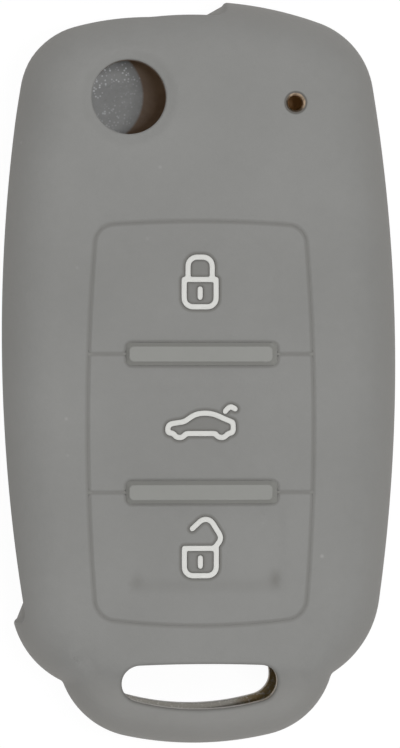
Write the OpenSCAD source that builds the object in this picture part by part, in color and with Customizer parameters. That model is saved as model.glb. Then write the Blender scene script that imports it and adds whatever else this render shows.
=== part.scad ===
// Silicone cover for a flip key fob with three buttons.
// The cover lies on its back: X runs to the right across the keypad, Y towards
// the blade end and Z out of the keypad face. Lengths are millimetres.

/* [Cover] */
// Width across the widest point
cover_w = 40.1; // [38:0.1:44]
// Length from the blade end to the key ring end
cover_l = 73.9; // [72:0.05:80]
// Depth from the back to the keypad face
cover_depth = 16.6; // [15.5:0.1:18.5]
// Wall thickness of the moulding
wall = 1.6; // [1.3:0.1:1.9]
// Radius of the bowed blade end
blade_end_r = 36.5; // [34:0.5:60]
// How far right of the middle the blade end peaks
blade_end_shift = 0.2; // [0:0.1:2]
// Radius of the bowed long sides
side_r = 170; // [150:1:260]
// How far above the middle the long sides are widest
side_peak = 0.7; // [-2:0.1:3]
// Radius of the two corners at the blade end
shoulder_r = 8.25; // [7:0.05:9.5]
// Radius of the lower right corner
hip_right_r = 10.2; // [8:0.1:11]
// Radius of the lower left corner, below the blade mouth
hip_left_r = 8.9; // [7.5:0.1:10]
// Width of the rounded band between the side and the flat face
edge_w = 6; // [4:0.1:6.5]
// Squareness of that rounding, where 2 is an ellipse
edge_square = 2.3; // [2:0.1:3]

/* [Key ring lobe] */
// How far the lobe stands out below the body
lobe_reach = 5.35; // [4:0.05:6.5]
// Width of the lobe
lobe_w = 27.6; // [25:0.1:29]
// How far right of the middle the lobe sits
lobe_shift = 0.1; // [-0.5:0.1:0.8]
// Depth of the lobe, front to back
lobe_depth = 13; // [12:0.1:14.5]
// Radius of its bowed end
lobe_end_r = 33; // [28:1:60]
// Radius of its two corners
lobe_corner_r = 8.4; // [7:0.1:9]
// Radius of the notch where the lobe meets the body
notch_r = 0.8; // [0.6:0.1:2]
// Width of the rounded band round the lobe
lobe_edge_w = 3.4; // [2.5:0.1:4]
// Length over which the face steps down to the lobe
step_l = 3; // [2:0.1:4]

/* [Blade mouth] */
// Height of the mouth from its back lip to its front lip
mouth_h = 9; // [7:0.1:10]
// How far right of the middle the mouth ends on the blade end
mouth_top_x = 2.8; // [0:0.1:6]
// Slant of that end of the mouth in degrees
mouth_top_slant = 45; // [30:1:60]
// How far below the middle the mouth ends on the left side
mouth_low_drop = 24.8; // [20:0.1:26]
// Slant of that end of the mouth in degrees
mouth_low_slant = 66; // [45:1:80]

/* [Key ring slot] */
// Width of the slot
slot_w = 15.5; // [12:0.1:18]
// Height of the slot at its middle
slot_h = 4.8; // [4.5:0.1:5.2]
// Distance from the slot to the key ring end
slot_from_end = 3.8; // [3.4:0.1:4.5]
// Radius of its nearly straight upper edge
slot_top_r = 150; // [80:5:300]
// Radius of its bowed lower edge
slot_low_r = 24; // [18:1:60]
// Radius of its two ends
slot_end_r = 8; // [5:0.5:12]
// Radius of its upper corners
slot_top_corner_r = 1.9; // [1:0.1:2.1]
// Radius of its lower corners
slot_low_corner_r = 2; // [1:0.1:2.2]

/* [Holes in the face] */
// Bore of the hole over the blade release button
release_d = 7.26; // [6:0.02:9]
// Distance from the blade end to its middle
release_from_top = 10.1; // [9:0.1:13]
// Distance from the left side to its middle
release_from_left = 13.05; // [11:0.05:15]
// Width of the soft rim round it
release_rim_w = 0.8; // [0.4:0.1:1.2]
// Depth of that rim
release_rim_depth = 0.25; // [0.1:0.05:0.5]
// Bore of the hole over the light
light_d = 1.5; // [1:0.1:3]
// Distance from the blade end to its middle
light_from_top = 10.6; // [9:0.1:14]
// Distance from the right side to its middle
light_from_right = 10.75; // [9:0.05:13]
// Width of the chamfer round it
light_rim_w = 0.4; // [0.1:0.05:0.6]

/* [Keypad] */
// Width of the three pads
keypad_w = 22.2; // [19:0.1:24]
// Distance from the blade end to the pads
keypad_from_top = 22.2; // [20:0.1:24]
// Length of the lock pad
lock_pad_l = 13; // [11:0.1:14]
// Length of the boot pad
boot_pad_l = 13.5; // [12:0.1:14]
// Length of the unlock pad
unlock_pad_l = 13.05; // [11:0.05:14]
// Radius of the bowed upper edge of the pads
keypad_top_r = 116; // [80:1:200]
// Radius of the bowed lower edge of the pads
keypad_low_r = 68; // [50:1:150]
// Radius of the bowed sides of the pads
keypad_side_r = 220; // [150:5:400]
// Radius of the upper corners
keypad_top_corner_r = 1.9; // [1:0.1:3]
// Radius of the lower corners
keypad_low_corner_r = 2.2; // [1:0.1:3]
// Gap between a pad and the moulding round it
pad_gap = 0.12; // [0.1:0.01:0.2]
// Width of the groove cut in the moulding round the pads
groove_w = 0.25; // [0.15:0.05:0.4]
// Depth of that groove
groove_depth = 0.25; // [0.15:0.05:0.4]
// Thickness of the web between two pads
web_t = 0.25; // [0.2:0.05:0.4]
// Diameter of the pip under each pad
pip_d = 5; // [4:0.1:6]
// Height of that pip
pip_h = 0.7; // [0.4:0.1:1]

/* [Divider bars] */
// Length of a raised bar between two pads
bar_l = 15.3; // [13:0.1:17]
// Width of a bar
bar_w = 2.6; // [2:0.1:3]
// How far a bar rises above the face
bar_rise = 0.45; // [0.2:0.05:0.7]
// Width of its bevels
bar_bevel_w = 0.55; // [0.3:0.05:0.7]
// Width of the longer bevel at its right end
bar_end_bevel_w = 0.75; // [0.4:0.05:1.2]
// Radius of its corners
bar_corner_r = 0.8; // [0.5:0.1:1]
// Radius of the corners of its top
bar_top_corner_r = 0.4; // [0.2:0.05:0.6]

/* [Symbols] */
// Width of the lines of a symbol
line_w = 0.58; // [0.4:0.02:0.7]
// Depth of the recess that a symbol fills
symbol_sink = 0.5; // [0.3:0.05:0.8]
// How far a symbol stands above its pad
symbol_rise = 0.06; // [0.02:0.02:0.15]
// Width of the padlock case
lock_case_w = 3.7; // [3:0.1:4.5]
// Height of the padlock case
lock_case_h = 3.24; // [2.8:0.02:4]
// Radius of the lower corners of the padlock case
lock_case_r = 0.95; // [0.6:0.05:1.2]
// Width of the padlock shackle
shackle_w = 2.92; // [2.4:0.02:3.4]
// Straight length of a shackle leg
shackle_leg = 0.92; // [0.5:0.02:1.2]
// Degrees through which the open shackle swings
shackle_swing = 48; // [30:1:70]
// Length of the keyhole mark
keyhole_l = 1.36; // [1:0.02:1.6]
// Length of the car
car_l = 6.55; // [5:0.05:8]
// Radius of a wheel
car_wheel_r = 0.6; // [0.4:0.02:0.7]
// Radius of the corners of the car
car_round_r = 0.3; // [0.1:0.05:0.5]

/* [Hidden] */

// Overrun of every cut, and bite of every joined piece
overrun = 0.5;
// Segments of half a bowed side, of a corner, of the notch and of a rounded edge
side_steps = 4;
corner_steps = 8;
notch_steps = 4;
edge_steps = 12;
// Segments of a bar corner, of an offset outline and of a drawn circle
bar_corner_steps = 4;
outline_steps = 16;
$fn = 48;

silicone_grey = [0.53, 0.53, 0.51];
symbol_white = [0.87, 0.87, 0.85];

// Places that follow from the sizes above
blade_end_y = cover_l / 2;
ring_end_y = -cover_l / 2;
base_y = ring_end_y + lobe_reach;
pad_low_z = cover_depth - wall;
mouth_low_z = (cover_depth - mouth_h) / 2;
mouth_reach = wall + edge_w / 2;
keypad_l = lock_pad_l + boot_pad_l + unlock_pad_l;
keypad_top_y = blade_end_y - keypad_from_top;
keypad_low_y = keypad_top_y - keypad_l;
upper_divider_y = keypad_top_y - lock_pad_l;
lower_divider_y = upper_divider_y - boot_pad_l;
slot_low_y = ring_end_y + slot_from_end;
slot_high_y = slot_low_y + slot_h;
release_at = [release_from_left - cover_w / 2, blade_end_y - release_from_top];
light_at = [cover_w / 2 - light_from_right, blade_end_y - light_from_top];

// Outlines made of arcs that meet without a kink

function unit(angle) = [cos(angle), sin(angle)];
function mix(a, b, share) = a + (b - a) * share;
function near_turn(angle, turn) = angle + 360 * round((turn - angle) / 360);
function heading(v, turn) = near_turn(atan2(v.y, v.x), turn);

// Points along an arc from the one numbered first, without its last point
function arc(centre, r, from, to, steps, first = 0) =
    [for (k = [first:1:steps - 1]) centre + r * unit(mix(from, to, k / steps))];

// Where two circles meet, on the side nearer to a point
function meet(c0, r0, c1, r1, near) =
    let (d = norm(c1 - c0),
         along = (r0 * r0 - r1 * r1 + d * d) / (2 * d),
         off = sqrt(max(r0 * r0 - along * along, 0)),
         u = (c1 - c0) / d,
         p = c0 + along * u + off * [-u.y, u.x],
         q = c0 + along * u - off * [-u.y, u.x])
    norm(p - near) < norm(q - near) ? p : q;

// The cover's outline from the blade end down to the ring end, as if it were the
// right half: centre, radius, first and last angle and segments of each arc, and
// how its radius changes when the outline moves inwards
function half_outline(peak_x, hip_r, lobe_half_w) =
    let (top = [peak_x, blade_end_y - blade_end_r],
         side = [cover_w / 2 - side_r, side_peak],
         shoulder = meet(top, blade_end_r - shoulder_r, side, side_r - shoulder_r,
                         [cover_w / 2, blade_end_y]),
         hip_y = base_y + hip_r,
         hip = [side.x + sqrt(pow(side_r - hip_r, 2) - pow(hip_y - side.y, 2)), hip_y],
         end = [0, ring_end_y + lobe_end_r],
         lobe_x = lobe_half_w - lobe_corner_r,
         lobe = [lobe_x, end.y - sqrt(pow(lobe_end_r - lobe_corner_r, 2) - lobe_x * lobe_x)],
         notch = meet(hip, hip_r + notch_r, lobe, lobe_corner_r + notch_r, [cover_w / 2, base_y]),
         shoulder_from = heading(shoulder - top, 0),
         shoulder_to = heading(shoulder - side, 0),
         hip_from = heading(hip - side, 0),
         hip_to = heading(notch - hip, 0),
         lobe_from = heading(notch - lobe, 0),
         lobe_to = heading(lobe - end, 0))
    [[top, blade_end_r, 90, shoulder_from, side_steps, -1],
     [shoulder, shoulder_r, shoulder_from, shoulder_to, corner_steps, -1],
     [side, side_r, shoulder_to, 0, side_steps, -1],
     [side, side_r, 0, hip_from, side_steps, -1],
     [hip, hip_r, hip_from, hip_to, corner_steps, -1],
     [notch, notch_r, hip_to + 180, lobe_from + 180, notch_steps, 1],
     [lobe, lobe_corner_r, lobe_from, lobe_to, corner_steps, -1],
     [end, lobe_end_r, lobe_to, -90, side_steps, -1]];

right_outline = half_outline(blade_end_shift, hip_right_r, lobe_w / 2 + lobe_shift);
left_outline = half_outline(-blade_end_shift, hip_left_r, lobe_w / 2 - lobe_shift);

function half_ring(outline, inset) =
    concat([for (a = outline) each arc(a[0], a[1] + a[5] * inset, a[2], a[3], a[4])],
           [[0, ring_end_y + inset]]);

// Down the left half and up the right half, moved inwards by an inset
function cover_ring(inset) =
    let (left = half_ring(left_outline, inset),
         right = half_ring(right_outline, inset))
    concat([for (p = left) [-p.x, p.y]],
           [for (k = [len(right) - 2:-1:1]) right[k]]);

// Plans of four bowed sides whose arcs meet in four round corners. A side holds
// the centre of its arc, its radius, its outward direction and its segments.
function bowed(peak, r, out, steps = 2 * side_steps) = [peak - r * unit(out), r, out, steps];
function peak_of(side) = side[0] + side[1] * unit(side[2]);

// Centre of the corner circle that touches two neighbouring sides
function corner_centre(a, b, r) =
    let (ua = unit(a[2]),
         ub = unit(b[2]),
         near = (peak_of(a) * ua) * ua + (peak_of(b) * ub) * ub)
    meet(a[0], a[1] - r, b[0], b[1] - r, near);

// A plan holds, for each side, the side and the corner that follows it
function plan_of(sides, corner_rs) =
    [for (i = [0:3])
        let (a = sides[i],
             b = sides[(i + 1) % 4],
             c = corner_centre(a, b, corner_rs[i]))
        [a, corner_rs[i], c, heading(c - a[0], a[2]), heading(c - b[0], a[2] + 90)]];

// The outline of a plan, moved inwards by an inset
function ring(plan, inset) =
    [for (i = [0:3])
        let (side = plan[i][0],
             r = side[1] - inset,
             from = near_turn(plan[(i + 3) % 4][4], side[2]),
             corner_r = plan[i][1] - inset,
             corner = plan[i][2])
        each concat(arc(side[0], r, from, plan[i][3], side[3], 1),
                    arc(corner, corner_r, plan[i][3], plan[i][4], corner_steps),
                    [corner + corner_r * unit(plan[i][4])])];

slot_side_y = slot_high_y - slot_top_corner_r;
slot_plan = plan_of(
    [bowed([slot_w / 2, slot_side_y], slot_end_r, 0, 1),
     bowed([0, slot_high_y], slot_top_r, 90),
     bowed([-slot_w / 2, slot_side_y], slot_end_r, 180, 1),
     bowed([0, slot_low_y], slot_low_r, 270)],
    [slot_top_corner_r, slot_top_corner_r, slot_low_corner_r, slot_low_corner_r]);

keypad_side_y = (keypad_top_y + keypad_low_y) / 2;
keypad_plan = plan_of(
    [bowed([keypad_w / 2, keypad_side_y], keypad_side_r, 0),
     bowed([0, keypad_top_y], keypad_top_r, 90),
     bowed([-keypad_w / 2, keypad_side_y], keypad_side_r, 180),
     bowed([0, keypad_low_y], keypad_low_r, 270)],
    [keypad_top_corner_r, keypad_top_corner_r, keypad_low_corner_r, keypad_low_corner_r]);

// A rounded rectangle from its low and high corners
function box_ring(low, high, r) =
    concat(arc([high.x - r, high.y - r], r, 0, 90, bar_corner_steps),
           [[high.x - r, high.y]],
           arc([low.x + r, high.y - r], r, 90, 180, bar_corner_steps),
           [[low.x, high.y - r]],
           arc([low.x + r, low.y + r], r, 180, 270, bar_corner_steps),
           [[low.x + r, low.y]],
           arc([high.x - r, low.y + r], r, 270, 360, bar_corner_steps),
           [[high.x, low.y + r]]);

function lift(points, z) = [for (p = points) [p.x, p.y, z]];

// Walls between rings of as many points, from the lowest ring up
function loft_walls(n, m) =
    [for (j = [0:m - 2], i = [0:n - 1])
        let (a = j * n + i, b = j * n + (i + 1) % n)
        each [[a, a + n, b + n], [a, b + n, b]]];

// A closed solid through rings, with a flat face at each end
module loft(rings) {
    n = len(rings[0]);
    m = len(rings);
    floor_face = [for (i = [0:n - 1]) i];
    roof_face = [for (i = [n - 1:-1:0]) (m - 1) * n + i];
    polyhedron([for (r = rings) each r], concat([floor_face], loft_walls(n, m), [roof_face]));
}

// Rounding of an edge: how far in and how far up it is at t from -1 to 1
function edge_in_share(t) = 1 - pow(cos(90 * t), 2 / edge_square);
function edge_up_share(t) = sign(t) * pow(abs(sin(90 * t)), 2 / edge_square);

// From the lobe, at 0, to the body, at 1, with an even slope between them
function body_share(y) =
    let (t = max(0, min(1, 1 - (slot_high_y - y) / step_l)))
    t * t * (3 - 2 * t);

// A shell over the whole outline, a skin's thickness inside the outer surface.
// Its ends are strips that run across from the left half to the right half.
module cover_shell(skin) {
    plan = cover_ring(0);
    n = len(plan);
    half = n / 2;
    rings = [for (j = [0:edge_steps])
        let (t = 2 * j / edge_steps - 1)
        [for (k = [0:n - 1])
            let (edge = mix(lobe_edge_w, edge_w, body_share(plan[k].y)),
                 p = cover_ring(skin + (edge - skin) * edge_in_share(t))[k],
                 depth = mix(lobe_depth, cover_depth, body_share(p.y)))
            [p.x, p.y, cover_depth / 2 + (depth / 2 - skin) * edge_up_share(t)]]];
    strips = [for (k = [0:half - 1])
        let (a = k, b = k + 1, c = n - k - 1, d = (n - k) % n)
        each concat(k < half - 1 ? [[b, c, a]] : [], k > 0 ? [[a, c, d]] : [])];
    top = edge_steps * n;
    polyhedron([for (r = rings) each r],
               concat(strips, loft_walls(n, edge_steps + 1),
                      [for (f = strips) [top + f[0], top + f[2], top + f[1]]]));
}

// The band of the wall that is cut away for the blade
module mouth_cut() {
    top = [mouth_top_x, blade_end_y];
    low = [-cover_w / 2, -mouth_low_drop];
    top_in = -unit(mouth_top_slant);
    low_in = unit(mouth_low_slant);
    run = mouth_reach + edge_w;
    translate([0, 0, mouth_low_z]) linear_extrude(mouth_h) intersection() {
        difference() {
            polygon(cover_ring(-overrun));
            polygon(cover_ring(mouth_reach));
        }
        polygon([top - run * top_in, top + run * top_in, low + run * low_in, low - run * low_in,
                 low - [run, run], top - [cover_w, -run]]);
    }
}

module slot_cut() {
    translate([0, 0, -overrun]) linear_extrude(cover_depth + 2 * overrun) polygon(ring(slot_plan, 0));
}

// A bore through the face with a sloping rim
module face_hole(at, d, rim_w, rim_depth) {
    translate([at.x, at.y, pad_low_z - overrun]) cylinder(d = d, h = wall + 2 * overrun);
    translate([at.x, at.y, cover_depth - rim_depth]) cylinder(d1 = d, d2 = d + 2 * rim_w, h = rim_depth);
}

module keypad_cut() {
    translate([0, 0, pad_low_z - overrun]) linear_extrude(wall + 2 * overrun) polygon(ring(keypad_plan, 0));
    translate([0, 0, cover_depth - groove_depth]) linear_extrude(groove_depth + overrun)
        polygon(ring(keypad_plan, -groove_w));
}

// Outline of a bar at a height, grown by a gap
function bar_ring(y, gap) =
    box_ring([-bar_l / 2 - gap, y - bar_w / 2 - gap], [bar_l / 2 + gap, y + bar_w / 2 + gap],
             bar_corner_r + gap);
function bar_top_ring(y) =
    box_ring([-bar_l / 2 + bar_bevel_w, y - bar_w / 2 + bar_bevel_w],
             [bar_l / 2 - bar_end_bevel_w, y + bar_w / 2 - bar_bevel_w], bar_top_corner_r);

// The web between two pads, and the raised bar that it carries
module divider(y) {
    translate([-keypad_w / 2 - overrun, y - web_t / 2, pad_low_z])
        cube([keypad_w + 2 * overrun, web_t, wall - groove_depth]);
    loft([lift(bar_ring(y, 0), pad_low_z),
          lift(bar_ring(y, 0), cover_depth),
          lift(bar_top_ring(y), cover_depth + bar_rise)]);
}

module sleeve() {
    color(silicone_grey) {
        difference() {
            cover_shell(0);
            cover_shell(wall);
            mouth_cut();
            slot_cut();
            keypad_cut();
            face_hole(release_at, release_d, release_rim_w, release_rim_depth);
            face_hole(light_at, light_d, light_rim_w, light_rim_w);
        }
        divider(upper_divider_y);
        divider(lower_divider_y);
    }
}

// Symbols, drawn flat round their own middle

module lock_case_shape(inset) {
    half_w = lock_case_w / 2 - inset;
    half_h = lock_case_h / 2 - inset;
    r = lock_case_r - inset;
    hull() {
        translate([-half_w, 0]) square([2 * half_w, half_h]);
        for (side = [-1, 1]) translate([side * (half_w - r), r - half_h]) circle(r);
    }
}

// A shackle that turns about the foot of its right leg
module shackle_shape(swing) {
    bend_r = (shackle_w - line_w) / 2;
    foot = [bend_r, lock_case_h / 2 - line_w / 2];
    translate(foot) rotate(-swing) translate([-bend_r, shackle_leg]) difference() {
        shackle_blank(bend_r + line_w / 2, shackle_leg);
        shackle_blank(bend_r - line_w / 2, shackle_leg + overrun);
    }
}

module shackle_blank(r, leg) {
    circle(r);
    translate([-r, -leg]) square([2 * r, leg]);
}

module padlock_shape(swing) {
    difference() {
        lock_case_shape(0);
        lock_case_shape(line_w);
    }
    difference() {
        shackle_shape(swing);
        lock_case_shape(line_w / 2);
    }
}

module keyhole_shape() {
    square([line_w, keyhole_l], center = true);
}

// Outline of the car as shares of its length, from the tail round to the nose
car_shares = [[0.5, -0.09], [0.5, 0.085], [0.37, 0.095], [0.165, 0.2], [-0.115, 0.195],
              [-0.225, 0.1], [-0.44, 0.055], [-0.5, 0], [-0.5, -0.09]];
wheel_shares = [-0.31, 0.31];
car_floor_share = -0.09;
lid_shares = [[0.355, 0.235], [0.46, 0.3], [0.53, 0.255]];

module car_body_shape() {
    offset(r = car_round_r, $fn = outline_steps) offset(delta = -car_round_r) polygon(car_l * car_shares);
    for (share = wheel_shares)
        translate([car_l * share, car_l * car_floor_share]) circle(car_wheel_r, $fn = outline_steps);
}

module car_shape() {
    difference() {
        offset(r = line_w / 2, $fn = outline_steps) car_body_shape();
        offset(r = -line_w / 2, $fn = outline_steps) car_body_shape();
    }
}

module lid_shape() {
    for (i = [0:1]) hull() {
        translate(car_l * lid_shares[i]) circle(line_w / 2);
        translate(car_l * lid_shares[i + 1]) circle(line_w / 2);
    }
}

lock_symbol_at = [0, (keypad_top_y + upper_divider_y) / 2 - line_w];
boot_symbol_at = [0, (upper_divider_y + lower_divider_y) / 2 - line_w / 2];
unlock_symbol_at = [0, (lower_divider_y + keypad_low_y) / 2 - line_w / 2];

// A white filling that stands a little above its pad
module symbol(at) {
    color(symbol_white) translate([at.x, at.y, cover_depth - symbol_sink])
        linear_extrude(symbol_sink + symbol_rise) children();
}

// Flat shape of the pad between two heights, clear of the webs and bars
module pad_shape(low_y, high_y) {
    difference() {
        intersection() {
            polygon(ring(keypad_plan, pad_gap));
            translate([-keypad_w / 2, low_y]) square([keypad_w, high_y - low_y]);
        }
        polygon(bar_ring(upper_divider_y, pad_gap));
        polygon(bar_ring(lower_divider_y, pad_gap));
    }
}

// A pad with its pip, and a recess of the shape of its symbols
module pad(low_y, high_y, at) {
    color(silicone_grey) {
        difference() {
            translate([0, 0, pad_low_z]) linear_extrude(wall) pad_shape(low_y, high_y);
            translate([at.x, at.y, cover_depth - symbol_sink])
                linear_extrude(symbol_sink + overrun) children();
        }
        translate([at.x, at.y, pad_low_z - pip_h]) cylinder(d = pip_d, h = pip_h + overrun);
    }
}

web_clear = web_t / 2 + pad_gap;

module lock_pad() {
    pad(upper_divider_y + web_clear, keypad_top_y, lock_symbol_at) {
        padlock_shape(0);
        keyhole_shape();
    }
}

module boot_pad() {
    pad(lower_divider_y + web_clear, upper_divider_y - web_clear, boot_symbol_at) {
        car_shape();
        lid_shape();
    }
}

module unlock_pad() {
    pad(keypad_low_y, lower_divider_y - web_clear, unlock_symbol_at) {
        padlock_shape(shackle_swing);
        keyhole_shape();
    }
}

module lock_padlock() {
    symbol(lock_symbol_at) padlock_shape(0);
}

module lock_keyhole() {
    symbol(lock_symbol_at) keyhole_shape();
}

module boot_car() {
    symbol(boot_symbol_at) car_shape();
}

module boot_lid() {
    symbol(boot_symbol_at) lid_shape();
}

module unlock_padlock() {
    symbol(unlock_symbol_at) padlock_shape(shackle_swing);
}

module unlock_keyhole() {
    symbol(unlock_symbol_at) keyhole_shape();
}

sleeve();
lock_pad();
lock_padlock();
lock_keyhole();
boot_pad();
boot_car();
boot_lid();
unlock_pad();
unlock_padlock();
unlock_keyhole();
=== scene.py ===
# %% [markdown]
# # A silicone cover for a flip key remote
# The real cover is one soft grey moulding that is stretched over the remote. It has an open
# side for the blade, three pads that flex in their own frame, raised bars between them, white
# symbols let into the pads, and a lobe with a slot for the key ring. The CAD model gives the
# places and sizes. This script gives the looks: soft rims, a rounded skin and matt silicone.

# %% Load the frame
import math

import bmesh
import bpy
import numpy as np
from mathutils import Matrix, Vector
from mathutils.geometry import delaunay_2d_cdt


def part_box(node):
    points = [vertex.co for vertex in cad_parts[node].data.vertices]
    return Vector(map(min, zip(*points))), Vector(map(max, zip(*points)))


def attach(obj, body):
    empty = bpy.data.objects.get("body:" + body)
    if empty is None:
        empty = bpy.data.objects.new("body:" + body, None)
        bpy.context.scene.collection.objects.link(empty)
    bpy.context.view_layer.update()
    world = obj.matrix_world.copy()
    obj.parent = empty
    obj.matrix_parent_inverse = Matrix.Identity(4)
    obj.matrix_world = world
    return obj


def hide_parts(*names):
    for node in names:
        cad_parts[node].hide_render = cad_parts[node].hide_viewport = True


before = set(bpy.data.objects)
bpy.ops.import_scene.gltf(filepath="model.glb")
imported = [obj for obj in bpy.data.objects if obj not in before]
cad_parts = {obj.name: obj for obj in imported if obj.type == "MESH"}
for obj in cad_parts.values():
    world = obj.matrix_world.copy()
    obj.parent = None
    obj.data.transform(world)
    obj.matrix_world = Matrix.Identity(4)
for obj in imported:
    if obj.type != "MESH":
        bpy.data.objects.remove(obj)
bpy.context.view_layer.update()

# %% [markdown]
# ## Sizes
# A mould maker draws this cover from a few sizes, so the same sizes lead here, in millimetres.
# What the frame can tell is read from it: the outer box, the bars and the places of the pads.

# %% Sizes of the cover
MM = 0.001
sleeve_low, sleeve_high = (np.array(corner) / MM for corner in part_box("sleeve"))
BAR_RISE = 0.45
COVER_W = 2 * sleeve_high[0]
RING_END_Y = sleeve_low[1]
BLADE_END_Y = -RING_END_Y
COVER_DEPTH = sleeve_high[2] - BAR_RISE
MID_Z = COVER_DEPTH / 2
WALL = 1.6
EDGE_W, EDGE_POWER = 6.0, 2.3
LOBE_REACH, LOBE_W, LOBE_SHIFT = 5.35, 27.6, 0.1
LOBE_DEPTH, LOBE_EDGE_W, STEP_L = 13.0, 3.4, 3.0
SLOT_W, SLOT_H, SLOT_FROM_END = 15.3, 4.6, 3.8
SLOT_LOW_Y = RING_END_Y + SLOT_FROM_END
SLOT_HIGH_Y = SLOT_LOW_Y + SLOT_H
print("cover", round(COVER_W, 2), "x", round(2 * BLADE_END_Y, 2), "x", round(COVER_DEPTH, 2))

# %% [markdown]
# ## An outline of arcs
# Seen from the front the cover is a chain of arcs that meet without a kink. A drawn polygon would
# need hundreds of points and would still show its corners. An arc can be moved inwards by changing
# its radius alone, so one chain serves every height of the rounded skin.

# %% Arcs that touch
def unit(angle):
    """The direction of an angle, as a vector of length 1."""
    return np.stack([np.cos(angle), np.sin(angle)], axis=-1)


def meet(centre_a, radius_a, centre_b, radius_b, near):
    """Where two circles meet, on the side nearer to a point."""
    centre_a, centre_b = np.array(centre_a, float), np.array(centre_b, float)
    gap = np.linalg.norm(centre_b - centre_a)
    along = (radius_a ** 2 - radius_b ** 2 + gap ** 2) / (2 * gap)
    off = math.sqrt(max(radius_a ** 2 - along ** 2, 0))
    u = (centre_b - centre_a) / gap
    ends = [centre_a + along * u + side * off * np.array([-u[1], u[0]]) for side in (1, -1)]
    return min(ends, key=lambda p: np.linalg.norm(p - near))


def heading(v):
    """The angle of a vector."""
    return math.atan2(v[1], v[0])


def half_outline(peak_x, hip_r, lobe_half_w):
    """Arcs of the right half, blade end first: centre, radius, two angles, growth inwards."""
    blade_end_r, side_r, side_peak, shoulder_r = 36.5, 170.0, 0.7, 8.25
    lobe_end_r, lobe_corner_r, notch_r = 33.0, 8.4, 0.8
    base_y = RING_END_Y + LOBE_REACH
    top = np.array([peak_x, BLADE_END_Y - blade_end_r])
    side = np.array([COVER_W / 2 - side_r, side_peak])
    shoulder = meet(top, blade_end_r - shoulder_r, side, side_r - shoulder_r,
                    [COVER_W / 2, BLADE_END_Y])
    hip_y = base_y + hip_r
    hip = np.array([side[0] + math.sqrt((side_r - hip_r) ** 2 - (hip_y - side_peak) ** 2), hip_y])
    end = np.array([0.0, RING_END_Y + lobe_end_r])
    lobe_x = lobe_half_w - lobe_corner_r
    lobe = np.array([lobe_x, end[1] - math.sqrt((lobe_end_r - lobe_corner_r) ** 2 - lobe_x ** 2)])
    notch = meet(hip, hip_r + notch_r, lobe, lobe_corner_r + notch_r, [COVER_W / 2, base_y])
    turns = [math.pi / 2, heading(shoulder - top), heading(shoulder - side),
             heading(hip - side), heading(notch - hip)]
    return [(top, blade_end_r, turns[0], turns[1], -1),
            (shoulder, shoulder_r, turns[1], turns[2], -1),
            (side, side_r, turns[2], turns[3], -1),
            (hip, hip_r, turns[3], turns[4], -1),
            (notch, notch_r, turns[4] + math.pi, heading(notch - lobe) + math.pi, 1),
            (lobe, lobe_corner_r, heading(notch - lobe), heading(lobe - end), -1),
            (end, lobe_end_r, heading(lobe - end), -math.pi / 2, -1)]


right_half = half_outline(0.2, 10.2, LOBE_W / 2 + LOBE_SHIFT)
left_half = half_outline(-0.2, 8.9, LOBE_W / 2 - LOBE_SHIFT)
print(len(right_half), "arcs on each side")

# %% A closed outline
class Outline:
    """A closed line of arcs, measured by its length from the ring end up the right side."""

    def __init__(self, arcs):
        self.centre = np.array([a[0] for a in arcs])
        self.radius, self.first, self.last, self.grow = np.array([a[1:] for a in arcs]).T
        lengths = self.radius * abs(self.last - self.first)
        self.start = np.concatenate([[0.0], np.cumsum(lengths)])
        self.length = self.start[-1]

    def at(self, s, inset=0.0):
        s = np.mod(np.atleast_1d(s), self.length)
        i = np.clip(np.searchsorted(self.start, s, side="right") - 1, 0, len(self.radius) - 1)
        share = (s - self.start[i]) / (self.start[i + 1] - self.start[i])
        angle = self.first[i] + share * (self.last[i] - self.first[i])
        return self.centre[i] + (self.radius[i] + self.grow[i] * inset)[:, None] * unit(angle)

    def samples(self, step, turn):
        """Places no further apart than a step, or than a turn in degrees on a tight arc."""
        places = []
        for i in range(len(self.radius)):
            span = self.start[i + 1] - self.start[i]
            count = math.ceil(max(span / step, abs(self.last[i] - self.first[i]) / math.radians(turn)))
            places.append(self.start[i] + span * np.arange(count) / count)
        return np.concatenate(places)


up_the_right = [(c, r, b, a, grow) for c, r, a, b, grow in reversed(right_half)]
down_the_left = [(c * [-1, 1], r, math.pi - a, math.pi - b, grow) for c, r, a, b, grow in left_half]
outline = Outline(up_the_right + down_the_left)
print("outline is", round(outline.length, 1), "mm round")

# %% [markdown]
# ## Four-sided openings
# The key ring slot and the frame of the keypad are both four bowed sides with round corners. A
# curve with handles could be drawn for each, but arcs keep the radii that a mould maker would
# give. One function makes both, and a negative inset gives the rings of their soft rims.

# %% Plans of four bowed sides
def bowed(peak, radius, out):
    """A bowed side by the middle of its arc, its radius and its outward angle."""
    return np.array(peak, float) - radius * unit(out), radius, out


def four_sided(sides, corner_radii, step=0.35):
    """A function that gives the points of the plan at an inset, anticlockwise."""
    corners = []
    for i, corner_r in enumerate(corner_radii):
        pair = sides[i], sides[(i + 1) % 4]
        (centre_a, radius_a, _), (centre_b, radius_b, _) = pair
        peaks = [(c + r * unit(out)) @ unit(out) * unit(out) for c, r, out in pair]
        centre = meet(centre_a, radius_a - corner_r, centre_b, radius_b - corner_r, peaks[0] + peaks[1])
        corners.append((centre, corner_r, heading(centre - centre_a), heading(centre - centre_b)))

    def points(inset):
        out = []
        for i, (centre, radius, facing) in enumerate(sides):
            first = facing + math.remainder(corners[i - 1][3] - facing, math.tau)
            last = facing + math.remainder(corners[i][2] - facing, math.tau)
            count = max(1, math.ceil(radius * abs(last - first) / step))
            out.append(centre + (radius - inset) * unit(np.linspace(first, last, count + 1)[1:-1]))
            spot, corner_r, a, b = corners[i]
            b = a + math.remainder(b - a, math.tau)
            out.append(spot + (corner_r - inset) * unit(np.linspace(a, b, 11)))
        return np.vstack(out)

    return points


RIGHT, UP, LEFT, DOWN = (i * math.pi / 2 for i in range(4))


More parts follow.
